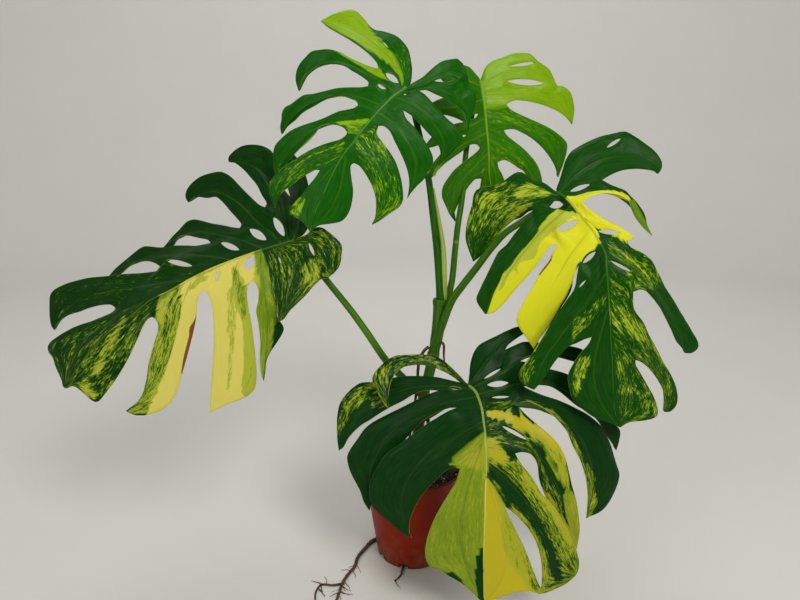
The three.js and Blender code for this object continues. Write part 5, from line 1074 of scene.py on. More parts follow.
# Patterns are sized by how many of their marks there are to a millimetre, across and along a lobe or a stalk
# where they follow its grain. Fine ones are as coarse as they need to be to show.
# The strokes of yellow in green tissue, each kind with its weight.
STROKES = [((0.08, 0.024, 1), 0.8), ((0.34, 0.05, 1), 1.3), ((1.2, 0.17, 1), 1.4)]
LEAF_SHADING, LEAF_LINES, LEAF_PORES, LEAF_SHEEN = (0.5, 0.05, 1), (1.6, 0.12, 1), 0.9, 0.06
EDGE_CELLS, RIB_LINES = (0.3, 0.3, 1), (0.9, 0.03, 1)
SKIN_STREAKS, SKIN_PATCHES, SKIN_FLECKS = (0.35, 0.02, 1), (0.12, 0.02, 1), (0.9, 0.25, 1)
ROOT_PATCHES, ROOT_CRACKS = 0.13, (0.5, 1.4, 1)
POT_CLOUD, POT_SCUFFS, POT_DUST, POT_GRAIN = 0.018, (0.26, 0.26, 0.04), 0.055, 0.42
# How much plainer lime tissue is.
LIME_PLAIN = -0.82
# Each leaf's colours, from no yellow to all yellow: two tones of its green, half-green, the lime that its
# green turns to, yellow and cream, then the veins' colour. Then its midrib's tone beside yellow tissue and
# beside green, and how rough its upper face is and how strongly it shines.
LEAF_TONES = ("deep", "green", "half", "lime", "yellow", "cream", "vein")
LEAF_LOOKS = {
    "left_leaf": (("#082a05", "#0f3e08", "#2c5e0a", "#648612", "#a4ac38", "#d8cc66", "#3f6a26"),
                  ("#c4bc58", "#2e5c16"), (0.36, 0.06)),
    "top_leaf": (("#0e4a02", "#1a6204", "#347606", "#7ca406", "#8cae18", "#a0b82c", "#4f861c"),
                 ("#6a9a1c", "#3c7c12"), (0.34, 0.09)),
    "lime_leaf": (("#246602", "#3c7e06", "#4e8a04", "#7aa604", "#8cae10", "#a4ba28", "#80a820"),
                  ("#88b010", "#70a00c"), (0.22, 0.13)),
    "right_leaf": (("#0a3802", "#124e04", "#2e680a", "#6a9416", "#b0bc34", "#dedc20", "#47781a"),
                   ("#b4b22c", "#2c6208"), (0.32, 0.09)),
    "front_leaf": (("#062a06", "#0e3c0e", "#34640e", "#6c8a1a", "#a2a428", "#b8aa20", "#406a26"),
                   ("#c0c25c", "#7c9a3c"), (0.32, 0.09)),
}


def leaf_face(name, colours, paleness, roughness, shine):
    """Leaf tissue under a waxy skin: strokes of yellow along its lobes turn to green by way of lime and
    half-green, and fine lines and pores break the gloss."""
    material, add, shader = new_look(name)
    grain, yellow, lime = add(GRAIN), add(YELLOW), add(LIME)
    shade = {key: linear(colour) for key, colour in colours.items()}
    tone = add(NOISE, add(STRETCH, grain, LEAF_SHADING), 1, 4, 0.65)
    strokes = 0
    for size, weight in STROKES:
        stroke = add(NOISE, add(STRETCH, grain, size), 1, 5, 0.65)
        strokes = add(TIMES_PLUS, add(LESS, stroke, 0.5), weight, strokes)
    contrast = add(TIMES_PLUS, lime, LIME_PLAIN, 1)
    level = add(TIMES_PLUS, strokes, contrast, add(TIMES_PLUS, yellow, 1.4, -0.2))
    green = add(MIX, add(RAMP, tone, stops=rising(0.35, 0.65)), shade["deep"], shade["green"])
    limed = add(MIX, add(RAMP, tone, stops=rising(0.25, 0.45)), shade["half"], shade["lime"])
    plain = add(MIX, add(RAMP, lime, stops=rising(0.5, 0.9)), green, limed)
    bright = add(RAMP, level, stops=[
        (0.4, colours["half"]), (0.5, colours["lime"]), (0.58, colours["yellow"]),
        (0.82, colours["yellow"]), (0.9, colours["cream"])])
    bright = add(MIX, add(TIMES, tone, 0.35), bright, shade["yellow"])
    colour = add(MIX, add(RAMP, level, stops=rising(0.31, 0.4)), plain, bright)
    veined = add(TIMES, add(VEIN), add(TIMES_PLUS, yellow, -0.4, 0.4))
    colour = add(MIX, veined, colour, shade["vein"])
    marking = add(RAMP, add(SCAR), stops=rising(0.46, 0.54))
    colour = add(MIX, marking, colour, linear("#7c4a24"))
    if paleness:
        colour = add(MIX, paleness, colour, linear("#5f7f3c"))
    place = add(PLACE)
    sheen = add(NOISE, place, LEAF_SHEEN / MM, 3, 0.55)
    lines = add(NOISE, add(STRETCH, grain, LEAF_LINES), 1, 4, 0.6)
    pores = add(NOISE, place, LEAF_PORES / MM, 2, 0.55)
    plug(shader, {
        "Base Color": colour, "Specular IOR Level": shine,
        "Roughness": add(TIMES_PLUS, sheen, 0.2, roughness - 0.1),
        "Normal": add(RELIEF, add(TIMES_PLUS, pores, 0.15, lines), 0.3, 0.8 * MM)})
    return material


def leaf_edge(name):
    """The thin edge of a blade, pale where the tissue is cut across."""
    material, add, shader = new_look(name)
    tone = add(NOISE, add(STRETCH, add(GRAIN), EDGE_CELLS), 1, 3, 0.55)
    green = add(MIX, tone, linear("#4c7a20"), linear("#6c9438"))
    colour = add(MIX, add(YELLOW), green, linear("#d4cc62"))
    plug(shader, {"Base Color": add(MIX, add(SCAR), colour, linear("#6b3a22")), "Roughness": 0.5})
    return material


def midrib_look(name, light, dark):
    """The midrib's skin, pale beside yellow tissue and green beside green, with fine lines along it."""
    material, add, shader = new_look(name)
    lines = add(NOISE, add(STRETCH, add(GRAIN), RIB_LINES), 1, 4, 0.6)
    pale = add(PLUS, add(YELLOW), add(TIMES_PLUS, lines, 0.4, -0.2))
    plug(shader, {
        "Base Color": add(RAMP, pale, stops=[(0.35, dark), (0.75, light)]), "Roughness": 0.4,
        "Specular IOR Level": 0.16, "Normal": add(RELIEF, lines, 0.3, 0.5 * MM)})
    return material


def leaf_looks(name):
    """A leaf's materials: its upper face, its paler and duller underside, its edge and its midrib."""
    tones, rib_tones, gloss = LEAF_LOOKS[name]
    colours = dict(zip(LEAF_TONES, tones))
    return [
        leaf_face(f"{name}_upper", colours, 0, *gloss),
        leaf_face(f"{name}_underside", colours, 0.3, 0.55, 0.08),
        leaf_edge(f"{name}_edge"),
        midrib_look(f"{name}_midrib", *rib_tones),
    ]


def skin_look(name, light, dark, blush, roughness, marking="#6e5330"):
    """Smooth green stalk skin, streaked along its length, with a darker blush, and its marking colour where
    the scar data lies: dry tissue at scars, and on the right stalk painted shade along its groove.
    """
    material, add, shader = new_look(name)
    grain = add(GRAIN)
    streaks = add(NOISE, add(STRETCH, grain, SKIN_STREAKS), 1, 5, 0.6)
    patches = add(NOISE, add(STRETCH, grain, SKIN_PATCHES), 1, 3, 0.55)
    flecks = add(NOISE, add(STRETCH, grain, SKIN_FLECKS), 1, 3, 0.55)
    colour = add(MIX, add(RAMP, streaks, stops=rising(0.36, 0.62)), linear(dark), linear(light))
    colour = add(MIX, add(RAMP, patches, stops=rising(0.55, 0.72)), colour, linear(blush))
    colour = add(MIX, add(RAMP, flecks, stops=rising(0.6, 0.74)), colour, linear("#24471a"))
    plug(shader, {
        "Base Color": add(MIX, add(SCAR), colour, linear(marking)), "Roughness": roughness,
        "Specular IOR Level": 0.125, "Normal": add(RELIEF, streaks, 0.3, 0.8 * MM)})
    return material


def root_look(name, light, dark):
    """Dry corky root skin, cracked across and patchy brown."""
    material, add, shader = new_look(name)
    patches = add(NOISE, add(PLACE), ROOT_PATCHES / MM, 4, 0.6)
    cracks = add(NOISE, add(STRETCH, add(GRAIN), ROOT_CRACKS), 1, 4, 0.65)
    colour = add(MIX, add(RAMP, patches, stops=rising(0.35, 0.65)), linear(dark), linear(light))
    colour = add(MIX, add(RAMP, cracks, stops=rising(0.56, 0.72)), colour, linear("#1d130c"))
    plug(shader, {"Base Color": colour, "Roughness": 0.85, "Normal": add(RELIEF, cracks, 0.7, 1 * MM)})
    return material


# The pot's dust thins out upwards: how much there is at its foot, and how much less each metre up.
DUST_AT_FOOT, DUST_THINNING = 0.55, -9


def pot_look():
    """Moulded polypropylene of a nursery pot, brick red and satin, lightly scuffed, with dust low down."""
    material, add, shader = new_look("brick_red_pot_plastic")
    place = add(PLACE)
    cloud = add(NOISE, place, POT_CLOUD / MM, 4, 0.6)
    scuffs = add(NOISE, add(STRETCH, place, [marks / MM for marks in POT_SCUFFS]), 1, 5, 0.7)
    dust = add(NOISE, place, POT_DUST / MM, 5, 0.65)
    low = add(TIMES_PLUS, add(HEIGHT, place), DUST_THINNING, DUST_AT_FOOT)
    colour = add(MIX, cloud, linear("#701702"), linear("#8c2504"))
    scuffed = add(RAMP, scuffs, stops=[(0.58, "#000000"), (0.8, "#5a5a5a")])
    colour = add(MIX, scuffed, colour, linear("#983c20"))
    dusty = add(TIMES, add(RAMP, dust, stops=rising(0.42, 0.75)), low)
    colour = add(MIX, add(LARGER, dusty, 0), colour, linear("#8a6a55"))
    plug(shader, {
        "Base Color": colour, "Roughness": add(TIMES_PLUS, scuffs, 0.25, 0.3),
        "Specular IOR Level": 0.1,
        "Normal": add(RELIEF, add(NOISE, place, POT_GRAIN / MM, 3, 0.55), 0.12, 0.5 * MM)})
    return material


def soil_look(name, light, dark, grit):
    """A dull, gritty part of the potting mix, with so many grains to a millimetre."""
    material, add, shader = new_look(name)
    grains = add(NOISE, add(PLACE), grit / MM, 5, 0.7)
    colour = add(MIX, add(RAMP, grains, stops=rising(0.3, 0.7)), linear(dark), linear(light))
    plug(shader, {"Base Color": colour, "Roughness": 0.95, "Normal": add(RELIEF, grains, 0.8, 2 * MM)})
    return material


# Each leaf: its CAD node, outline, tissue, dry tissue, material slot, and its midrib's width at the stalk.
LEAVES = {
    "left_leaf": ("leaf_left", LEAF_LEFT, TISSUE_LEFT, SCAR_LEFT, "leaf_variegated", 3),
    "top_leaf": ("leaf_top", LEAF_TOP, TISSUE_TOP, None, "leaf_green", 3.8),
    "lime_leaf": ("leaf_lime", LEAF_LIME, TISSUE_LIME, None, "leaf_lime", 4.6),
    "right_leaf": ("leaf_right", LEAF_RIGHT, TISSUE_RIGHT, SCAR_RIGHT, "leaf_variegated", 3.6),
    "front_leaf": ("leaf_front", LEAF_FRONT, TISSUE_FRONT, None, "leaf_variegated", 3.8),
}
for seed, (name, leaf) in enumerate(LEAVES.items()):
    make_leaf(name, *leaf, leaf_looks(name), seed)

# How finely each rod is made: sides round it and steps along it.
STALK_MESH, SHEATH_MESH, STEM_MESH, AIR_ROOT_MESH = (28, 150), (20, 70), (40, 170), (12, 110)
FOOT_ROOT_MESH, HAIR_MESH, HAIR_STEPS = (12, 130), (6, 14), 4
# Stalks, stem and roots: centre lines in the frame, [u, v, y], and radii in millimetres, as in the part's
# own source, and where rings of scar tissue lie on each stalk, as shares of its length with their width. Two
# stalks have a dark streak all along their groove: brown on the left stalk, and on the right stalk a
# near-black line of painted shade in its groove.
STEM_LINE = [[414, 486, 0], [414, 471, 0], [418, 430, 0], [424, 395, 0], [431, 365, 0], [438, 330, 1],
             [441, 299, 2]]
STEM_RADII = (6.5, 6.5, 6.5, 8.5)
STALKS = {
    "top_stalk": {
        "node": "petiole_top", "radii": (4.6, 3.2), "rings": [],
        "line": [[440.5, 303, 2], [439.5, 285, 0], [437, 250, -2], [433, 215, -2], [429, 182, -2],
                 [421, 142, -3], [413, 108, -8], [407.5, 88, -19]],
    },
    "lime_stalk": {
        "node": "petiole_lime", "radii": (4, 3), "rings": [(0.29, 0.004)],
        "line": [[446, 306, 5], [452, 280, 9], [454.5, 256, 14], [457.5, 228, 22], [462.5, 195, 33],
                 [466, 152, 43], [473, 110, 47], [480, 82, 36]],
    },
    "right_stalk": {
        # Its streak is painted shade: a near-black line where its groove lies in shadow.
        "node": "petiole_right", "radii": (5.2, 3.6), "rings": [], "streak": 1,
        "line": [[433, 350, -2], [441, 328, -7], [452, 300, -12], [462, 286, -13], [476, 268, -14],
                 [492, 247, -13], [505, 233, -11], [518, 224, -8], [536, 212, -5], [549, 202, -6],
                 [556, 193, -13]],
    },
    "left_stalk": {
        "node": "petiole_left", "radii": (5, 3.4), "rings": [(0, 0.02)], "streak": 0.9,
        "line": [[420, 392, 0], [410, 384, -9], [398.5, 373, -18], [386, 360, -26], [366, 331, -34],
                 [350, 309, -36], [325, 278, -36], [308, 256, -36], [296, 241, -43]],
    },
    "front_stalk": {
        "node": "petiole_front", "radii": (5, 3.6), "rings": [(0, 0.03)],
        "line": [[422, 418, 0], [432, 413, -16], [446, 404, -36], [458, 395, -54], [467, 386.5, -68]],
    },
}
SHEATH_LINE = [[443, 300, 4], [443.5, 285, 2], [443, 250, 0], [438, 215, 0], [433, 188, -1]]
SHEATH_RADII = (5, 1.4)
AIR_ROOTS = {
    "air_root_1": {
        "node": "aerial_root_1", "radii": (2, 1.3),
        "line": [[428, 347, -3], [424, 351, -8], [421, 356, -9], [418.5, 365, -8], [417.6, 377, -7],
                 [415.7, 397, -7], [412.5, 421, -8], [408, 446, -9], [405, 476, -9]],
    },
    "air_root_2": {
        "node": "aerial_root_2", "radii": (1.8, 1),
        "line": [[439, 341, -2], [443.3, 344, -4], [443.8, 355, -5], [444.5, 364, -5]],
    },
    "air_root_3": {
        "node": "aerial_root_3", "radii": (2.4, 1.7),
        "line": [[420, 410, -2], [427, 417, -7], [428, 428, -9], [427, 447, -12], [426, 480, -14]],
    },
}
# Roots out of the pot's drain notches: plan points [x, y] in millimetres, how high they lie, and the steps of
# each and the first and last one that has a fine side root.
ROOT_LIFT, FOOT_STEPS, HAIR_FIRST, HAIR_LAST = 0.3, 60, 24, 59
DRAIN_ROOTS = {
    "foot_root_long": {
        "node": "drain_root_main", "radii": (2.6, 1.3), "hairs": 14,
        "plan": [[-29.5, 7.9], [-38, 10.2], [-46, 11.5], [-55, 5], [-63, -9], [-71, -26], [-73.5, -42],
                 [-80, -55], [-86, -70], [-89, -88], [-92, -104], [-99, -118]],
    },
    "foot_root_side": {
        "node": "drain_root_left", "radii": (1.5, 0.9), "hairs": 7,
        "plan": [[-84, -72], [-98, -75], [-112, -74], [-117, -86], [-116, -99]],
    },
    "foot_root_hook": {
        "node": "drain_root_front", "radii": (1.5, 0.8), "hairs": 1,
        "plan": [[-7.9, -29.4], [-11, -40], [-14, -49], [-15, -56], [-19, -63], [-23, -67]],
    },
}


def joined(parts):
    """Several bodies as one mesh: places, faces, grain, and the number of each body's faces."""
    spots, faces, grain, sizes = [], [], [], []
    for part_spots, part_faces, part_grain in parts:
        first = sum(len(s) for s in spots)
        spots.append(part_spots)
        grain.append(part_grain)
        faces += [[i + first for i in face] for face in part_faces]
        sizes.append(len(part_faces))
    return np.vstack(spots), faces, np.vstack(grain), sizes


def ringed(line, rings):
    """How far brown scar tissue covers a stalk's skin at each of its points, from rings (share, width)."""
    scar = np.zeros(len(line))
    for at, wide in rings:
        scar = np.maximum(scar, np.exp(-(((line - at) / wide) ** 2)))
    return scar


def stalk_shape(share, turn):
    """A stalk's groove along its upper side, its spread foot and the swollen knee below the blade."""
    groove = -0.16 * np.exp(-((np.minimum(turn, 2 * math.pi - turn) / 0.5) ** 2)) * (share < 0.86)
    foot = 0.16 * np.exp(-((share / 0.05) ** 2))
    knee = 0.14 * np.exp(-(((share - 0.93) / 0.045) ** 2))
    wrinkles = 0.02 * np.sin(share * 520) * np.exp(-(((share - 0.93) / 0.04) ** 2))
    return 1 + groove + foot + knee + wrinkles


STALK_LOOKS = {
    "top_stalk": skin_look("top_stalk_skin", "#2c6010", "#1a4606", "#143c04", 0.38),
    "lime_stalk": skin_look("lime_stalk_skin", "#46780f", "#2a5a08", "#234e06", 0.38, "#7c9c4c"),
    # The right stalk's last colour, near black, is painted shade along its groove.
    "right_stalk": skin_look("right_stalk_skin", "#3e6c10", "#284e08", "#224006", 0.38, "#0e1606"),
    "left_stalk": skin_look("left_stalk_skin", "#4c7a1c", "#34600e", "#3c2412", 0.38),
    "front_stalk": skin_look("front_stalk_skin", "#4c7a1c", "#34600e", "#4a3c18", 0.4),
}
# The open sheath that clasps the top stalk is pale and thin.
sheath_look = skin_look("pale_sheath_skin", "#a4b860", "#88a040", "#7c9634", 0.42)
for name, stalk in STALKS.items():
    parts = [tube(sight(stalk["line"]), stalk["radii"], *STALK_MESH, (0, 0, 1), stalk_shape)]
    if name == "top_stalk":
        parts.append(tube(sight(SHEATH_LINE), SHEATH_RADII, *SHEATH_MESH))
    spots, faces, grain, sizes = joined(parts)
    share, turn = grain[:, 1] / grain[:, 1].max(), grain[:, 0] / np.mean(stalk["radii"])
    streak = stalk.get("streak", 0) * np.exp(-((np.minimum(turn, 2 * math.pi - turn) / 0.3) ** 2))
    kinds = [number for number, size in enumerate(sizes) for _ in range(size)]
    piece = new_piece(name, spots, faces, [STALK_LOOKS[name], sheath_look][:len(parts)], kinds,
                      {"grain": grain, "scar": np.maximum(ringed(share, stalk["rings"]), streak)})
    finished(piece, ROD_SMOOTH, "stalk", stalk["node"])


def stem_shape(share, turn):
    """The stem's nodes, each a raised ring with a dip above it, and shallow ridges between them."""
    nodes = (0.12, 0.36, 0.5, 0.72, 0.985)
    swell = sum(0.13 * np.exp(-(((share - node) / 0.016) ** 2)) for node in nodes)
    dip = sum(0.07 * np.exp(-(((share - node - 0.035) / 0.02) ** 2)) for node in nodes)
    ridges = 0.03 * np.cos(5 * turn + 9 * share) + 0.012 * np.cos(13 * turn + 4)
    return 1 + swell - dip + ridges


stem_spots, stem_faces, stem_grain = tube(sight(STEM_LINE), STEM_RADII, *STEM_MESH, None, stem_shape)
stem_share, stem_turn = stem_grain[:, 1] / stem_grain[:, 1].max(), stem_grain[:, 0] / np.mean(STEM_RADII)
# Dry papery tissue on the stem's left, under the highest node that shows.
papery = ringed(stem_share, [(0.745, 0.022)]) * np.exp(-(((stem_turn - 5.3) / 0.8) ** 2))
stem = new_piece("climbing_stem", stem_spots, stem_faces,
                 [skin_look("stem_skin", "#3c6e14", "#265008", "#3c3c14", 0.45)], None,
                 {"grain": stem_grain, "scar": np.maximum(papery, ringed(
                     stem_share, [(0.12, 0.012), (0.36, 0.01), (0.5, 0.012), (0.72, 0.006)]))})
finished(stem, ROD_SMOOTH, "stem", "main_stem")


def root_shape(seed):
    """A root's bumpy skin, with bumps of its own."""
    def shape(share, turn):
        bumps = np.zeros(np.broadcast(share, turn).shape)
        for (i, j), _ in np.ndenumerate(bumps):
            spot = Vector((share[i, 0] * 60, math.cos(turn[0, j]), math.sin(turn[0, j]) + seed * 9))
            bumps[i, j] = noise.noise(spot)
        return 1 + 0.22 * bumps
    return shape


aerial_look = root_look("air_root_skin", "#5c4028", "#2e2014")
for seed, (name, root) in enumerate(AIR_ROOTS.items()):
    spots, faces, grain = tube(sight(root["line"]), root["radii"], *AIR_ROOT_MESH, None, root_shape(seed))
    piece = new_piece(name, spots, faces, [aerial_look], None, {"grain": grain})
    finished(piece, ROD_SMOOTH, "root", root["node"])

drain_look = root_look("foot_root_skin", "#624630", "#34241a")
draw = random.Random(7)
for seed, (name, root) in enumerate(DRAIN_ROOTS.items()):
    plan, radii = np.array(root["plan"], float), root["radii"]
    height = np.linspace(radii[0], radii[1], len(plan)) + ROOT_LIFT
    line = np.column_stack([plan, height])
    parts = [tube(line, radii, *FOOT_ROOT_MESH, None, root_shape(seed + 5))]
    fine = smooth_line(line, FOOT_STEPS)
    for hair in range(root["hairs"]):
        foot = draw.randint(HAIR_FIRST, HAIR_LAST)
        heading = draw.choice((-1, 1)) * draw.uniform(0.5, 1.3)
        along = unit(fine[foot + 1] - fine[foot - 1])
        thin = draw.uniform(0.3, 0.6)
        places = [fine[foot] + (0, 0, -fine[foot][2] + thin + ROOT_LIFT)]
        for step in range(HAIR_STEPS):
            turned = math.atan2(along[1], along[0]) + heading + draw.uniform(-0.4, 0.4)
            reach = draw.uniform(2.5, 5.5)
            places.append(places[-1] + (math.cos(turned) * reach, math.sin(turned) * reach, 0))
        parts.append(tube(places, (thin, thin * 0.4), *HAIR_MESH))
    spots, faces, grain, sizes = joined(parts)
    piece = new_piece(name, spots, faces, [drain_look], None, {"grain": grain})
    finished(piece, ROD_SMOOTH, "root", root["node"])

# The pot, in millimetres: its outer wall, its rim band with a rolled lip, and the drain notches in its foot.
POT_HEIGHT, POT_RIM, POT_BASE, POT_WALL, BAND_HEIGHT, BAND_STEP = 124, 65, 46, 1.6, 26, 1.2
POT_FLOOR, NOTCH_HEIGHT, NOTCH_WIDTH, NOTCH_INNER, NOTCH_OUTER = 2.4, 6.5, 11, 30, 52
NOTCH_COUNT, NOTCH_TURN = 8, 165
POT_SIDES = 128
TAPER = (POT_RIM - BAND_STEP - POT_BASE) / POT_HEIGHT


def wall_radius(height):
    """How far the pot's outer wall is from its axis at a height."""
    return POT_BASE + TAPER * height


def pot_profile():
    """Radius and height of each ring of the pot, from the middle of its foot round to its inner floor."""
    band_foot = POT_HEIGHT - BAND_HEIGHT
    band = wall_radius(band_foot)
    inside = wall_radius(POT_HEIGHT) - POT_WALL
    lip = (POT_RIM - inside) / 2
    centre = inside + lip
    rolled = [(centre + lip * math.cos(turn), POT_HEIGHT - lip + lip * math.sin(turn))
              for turn in np.linspace(0, math.pi, 9)]
    return [
        (POT_BASE - 1.4, 0), (POT_BASE - 0.4, 0.3), (wall_radius(1.2), 1.2), (wall_radius(34), 34),
        (wall_radius(66), 66), (band - 0.15, band_foot - 1.6), (band, band_foot - 0.6),
        (band + 0.3, band_foot), (band + BAND_STEP - 0.2, band_foot + 0.2),
        (band + BAND_STEP, band_foot + 0.9), (wall_radius(POT_HEIGHT - 3) + BAND_STEP - 0.3, POT_HEIGHT - 3),
        *rolled,
        (wall_radius(60) - POT_WALL, 60), (wall_radius(POT_FLOOR + 1) - POT_WALL, POT_FLOOR + 1),
        (wall_radius(POT_FLOOR) - POT_WALL - 1, POT_FLOOR),
    ]


def turned_body(name, profile, sides):
    """A round body drawn up ring by ring from a filled circle, and closed by its last ring."""
    bpy.ops.object.select_all(action="DESELECT")
    radius, height = profile[0]
    bpy.ops.mesh.primitive_circle_add(vertices=sides, radius=radius * MM, fill_type="NGON",
                                      location=(0, 0, height * MM))
    piece = bpy.context.object
    piece.name = name
    bpy.ops.object.transform_apply(location=True)
    bpy.ops.object.mode_set(mode="EDIT")
    bpy.ops.mesh.select_mode(type="VERT")
    bpy.ops.mesh.select_all(action="SELECT")
    for (r, z), (next_r, next_z) in zip(profile, profile[1:]):
        bpy.ops.mesh.extrude_region_move(TRANSFORM_OT_translate={"value": (0, 0, (next_z - z) * MM)})
        bpy.ops.transform.resize(value=(next_r / r, next_r / r, 1), center_override=(0, 0, next_z * MM))
    bpy.ops.mesh.select_all(action="SELECT")
    bpy.ops.mesh.normals_make_consistent(inside=False)
    bpy.ops.object.mode_set(mode="OBJECT")
    return piece


def cut_notches(pot):
    """Cuts the drain notches out of the pot's foot."""
    middle = (NOTCH_INNER + NOTCH_OUTER) / 2
    for i in range(NOTCH_COUNT):
        turn = math.radians(NOTCH_TURN + 360 * i / NOTCH_COUNT)
        bpy.ops.object.select_all(action="DESELECT")
        place = (middle * math.cos(turn) * MM, middle * math.sin(turn) * MM, 0)
        bpy.ops.mesh.primitive_cube_add(size=1, location=place, rotation=(0, 0, turn))
        cutter = bpy.context.object
        cutter.scale = ((NOTCH_OUTER - NOTCH_INNER) * MM, NOTCH_WIDTH * MM, 2 * NOTCH_HEIGHT * MM)
        bpy.ops.object.transform_apply(location=True, rotation=True, scale=True)
        only(pot)
        cut = pot.modifiers.new("notch", "BOOLEAN")
        cut.operation, cut.solver, cut.object = "DIFFERENCE", "EXACT", cutter
        bpy.ops.object.modifier_apply(modifier=cut.name)
        bpy.data.objects.remove(cutter)


pot = turned_body("nursery_pot", pot_profile(), POT_SIDES)
cut_notches(pot)
pot.data.materials.clear()
pot.data.materials.append(pot_look())
finished(pot, POT_SMOOTH, "pot_plastic", "pot")

# Soil: its bed, how far it lies below the rim, its crown, and the bits that lie on it.
SOIL_BELOW, SOIL_CROWN, SOIL_GAP = 12, 4, 0.3
SOIL_RINGS, SOIL_SIDES, SOIL_ROUGHNESS = 34, 96, 1.1


def soil_bed():
    """The bed of soil, with a lumpy crowned top."""
    top = POT_HEIGHT - SOIL_BELOW
    foot = POT_FLOOR + SOIL_GAP
    top_radius = wall_radius(top) - POT_WALL - SOIL_GAP
    rings = [(wall_radius(foot) - POT_WALL - SOIL_GAP, foot)]
    rings += [(top_radius * (1 - i / SOIL_RINGS), top) for i in range(SOIL_RINGS)]
    spots = []
    for number, (radius, height) in enumerate(rings):
        for turn in np.linspace(0, 2 * math.pi, SOIL_SIDES, endpoint=False):
            x, y = radius * math.cos(turn), radius * math.sin(turn)
            z = height
            if number > 0:
                away = radius / top_radius
                lumps = noise.noise(Vector((x, y, 0)) / 9) + 0.6 * noise.noise(Vector((x, y, 5)) / 3)
                z += SOIL_CROWN * (1 - away**2) + SOIL_ROUGHNESS * lumps * min(1, (1 - away) * 8)
            spots.append((x, y, z))
    spots = np.array(spots)
    faces = oriented(spots, tube_faces(len(rings), SOIL_SIDES))
    return spots, faces


def soil_height(x, y):
    """How high the soil's crown lies at a place."""
    top_radius = wall_radius(POT_HEIGHT - SOIL_BELOW) - POT_WALL
    away = math.hypot(x, y) / top_radius
    return POT_HEIGHT - SOIL_BELOW + SOIL_CROWN * (1 - away**2)


def soil_bits(count, low, high, flat, seed):
    """Rough bits that lie half sunk on the soil, drawn at random: chips if `flat` is small, beads if not."""
    chance = random.Random(seed)
    bpy.ops.object.select_all(action="DESELECT")
    bpy.ops.mesh.primitive_ico_sphere_add(subdivisions=1, radius=1)
    model = bpy.context.object
    shape = np.array([v.co[:] for v in model.data.vertices])
    faces = [tuple(p.vertices) for p in model.data.polygons]
    bpy.data.objects.remove(model)
    parts = []
    reach = wall_radius(POT_HEIGHT - SOIL_BELOW) - POT_WALL - high - 1
    for bit in range(count):
        away, turn = reach * math.sqrt(chance.uniform(0.01, 1)), chance.uniform(0, 2 * math.pi)
        x, y = away * math.cos(turn), away * math.sin(turn)
        size = chance.uniform(low, high)
        scale = size * np.array([1, chance.uniform(0.5, 0.9), flat])
        rough = np.array([[chance.uniform(0.75, 1.15)] for _ in shape])
        heading = chance.uniform(0, math.pi)
        spin = np.array([[math.cos(heading), -math.sin(heading), 0],
                         [math.sin(heading), math.cos(heading), 0], [0, 0, 1]])
        tilt = chance.uniform(-0.5, 0.5)
        lean = np.array([[math.cos(tilt), 0, -math.sin(tilt)], [0, 1, 0],
                         [math.sin(tilt), 0, math.cos(tilt)]])
        spots = (shape * rough * scale) @ lean.T @ spin.T + (x, y, soil_height(x, y) + size * flat * 0.4)
        parts.append((spots, faces, np.zeros((len(spots), 3))))
    return joined(parts)


bed_spots, bed_faces = soil_bed()
bark = soil_bits(420, 1.6, 5, 0.35, 11)
crumbs = soil_bits(900, 0.7, 1.8, 0.8, 12)
perlite = soil_bits(70, 0.9, 2.2, 0.85, 13)
all_spots, all_faces, _, sizes = joined([(bed_spots, bed_faces, np.zeros((len(bed_spots), 3))),
                                         *(bits[:3] for bits in (bark, crumbs, perlite))])
kinds = [kind for kind, size in enumerate(sizes) for _ in range(size)]
soil = new_piece("potting_soil", all_spots, all_faces, [
    soil_look("potting_mix", "#33261c", "#120c08", 0.26), soil_look("bark_chips", "#5a3e28", "#1f140d", 0.3),
    soil_look("mix_crumbs", "#3a2a1e", "#150e09", 0.4), soil_look("perlite", "#d8d2c4", "#9c9484", 0.5),
], kinds)
finished(soil, SOIL_SMOOTH, "potting_soil", "soil")

# A pale floor that curves up all round into a backdrop, in metres, and soft studio light.
FLOOR_RADIUS, FLOOR_CURVE, FLOOR_HEIGHT, FLOOR_SIDES, CURVE_STEPS = 2.2, 1.2, 3, 72, 12


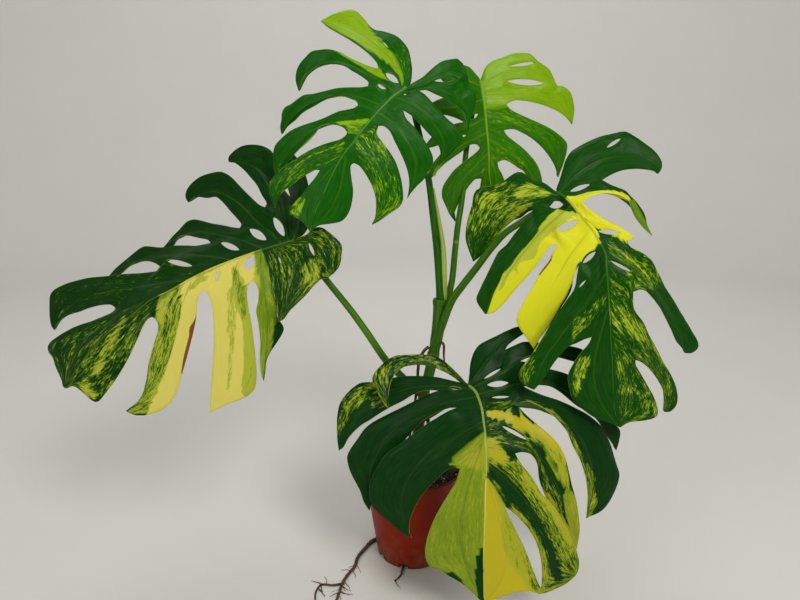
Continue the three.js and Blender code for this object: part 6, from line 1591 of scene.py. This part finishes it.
def pale_floor():
    """A matt paper backdrop, faintly cloudy, without the faces that would close its ends."""
    rings = [(0.001, 0), (1, 0), (FLOOR_RADIUS, 0)]
    rings += [(FLOOR_RADIUS + FLOOR_CURVE * math.sin(turn), FLOOR_CURVE * (1 - math.cos(turn)))
              for turn in np.linspace(0, math.pi / 2, CURVE_STEPS + 1)[1:]]
    rings.append((FLOOR_RADIUS + FLOOR_CURVE, FLOOR_HEIGHT))
    spots = [(r * math.cos(turn) / MM, r * math.sin(turn) / MM, z / MM) for r, z in rings
             for turn in np.linspace(0, 2 * math.pi, FLOOR_SIDES, endpoint=False)]
    faces = tube_faces(len(rings), FLOOR_SIDES)[:-2]
    material, add, shader = new_look("pale_paper_floor")
    clouds = add(NOISE, add(PLACE), 3, 3, 0.55)
    plug(shader, {"Base Color": add(MIX, clouds, linear("#d4d3cf"), linear("#dad9d5")), "Roughness": 0.8})
    floor = new_piece("floor", spots, faces, [material])
    smooth_by_angle(floor, 40)


def soft_light(name, place, aim, size, power, colour):
    """A large soft lamp at a place, in metres, that points at `aim`."""
    lamp = bpy.data.lights.new(name, "AREA")
    lamp.shape, lamp.size, lamp.energy, lamp.color = "DISK", size, power, linear(colour)[:3]
    holder = bpy.data.objects.new(name, lamp)
    holder.location = place
    holder.rotation_euler = (Vector(aim) - Vector(place)).to_track_quat("-Z", "Y").to_euler()
    bpy.context.scene.collection.objects.link(holder)


pale_floor()
# The middle of the plant, in metres.
MIDDLE = (-0.03, -0.03, 0.33)
soft_light("key_light", (0.9, -1.7, 1.9), MIDDLE, 0.9, 34, "#fffaf2")
soft_light("fill_light", (-1.6, -1.6, 1.2), MIDDLE, 1.4, 13, "#fdfdfa")
soft_light("top_light", (-0.1, 0.35, 2.3), MIDDLE, 0.7, 7, "#ffffff")
soft_light("backdrop_light", (0, 1.1, 2.6), (0, 3.4, 1), 1.6, 26, "#ffffff")
world = bpy.data.worlds.new("soft_room")
bpy.context.scene.world = world
world.use_nodes = True
world.node_tree.nodes["Background"].inputs["Color"].default_value = linear("#f3f3ef")
world.node_tree.nodes["Background"].inputs["Strength"].default_value = 0.3
bpy.context.scene.view_settings.view_transform = "Standard"
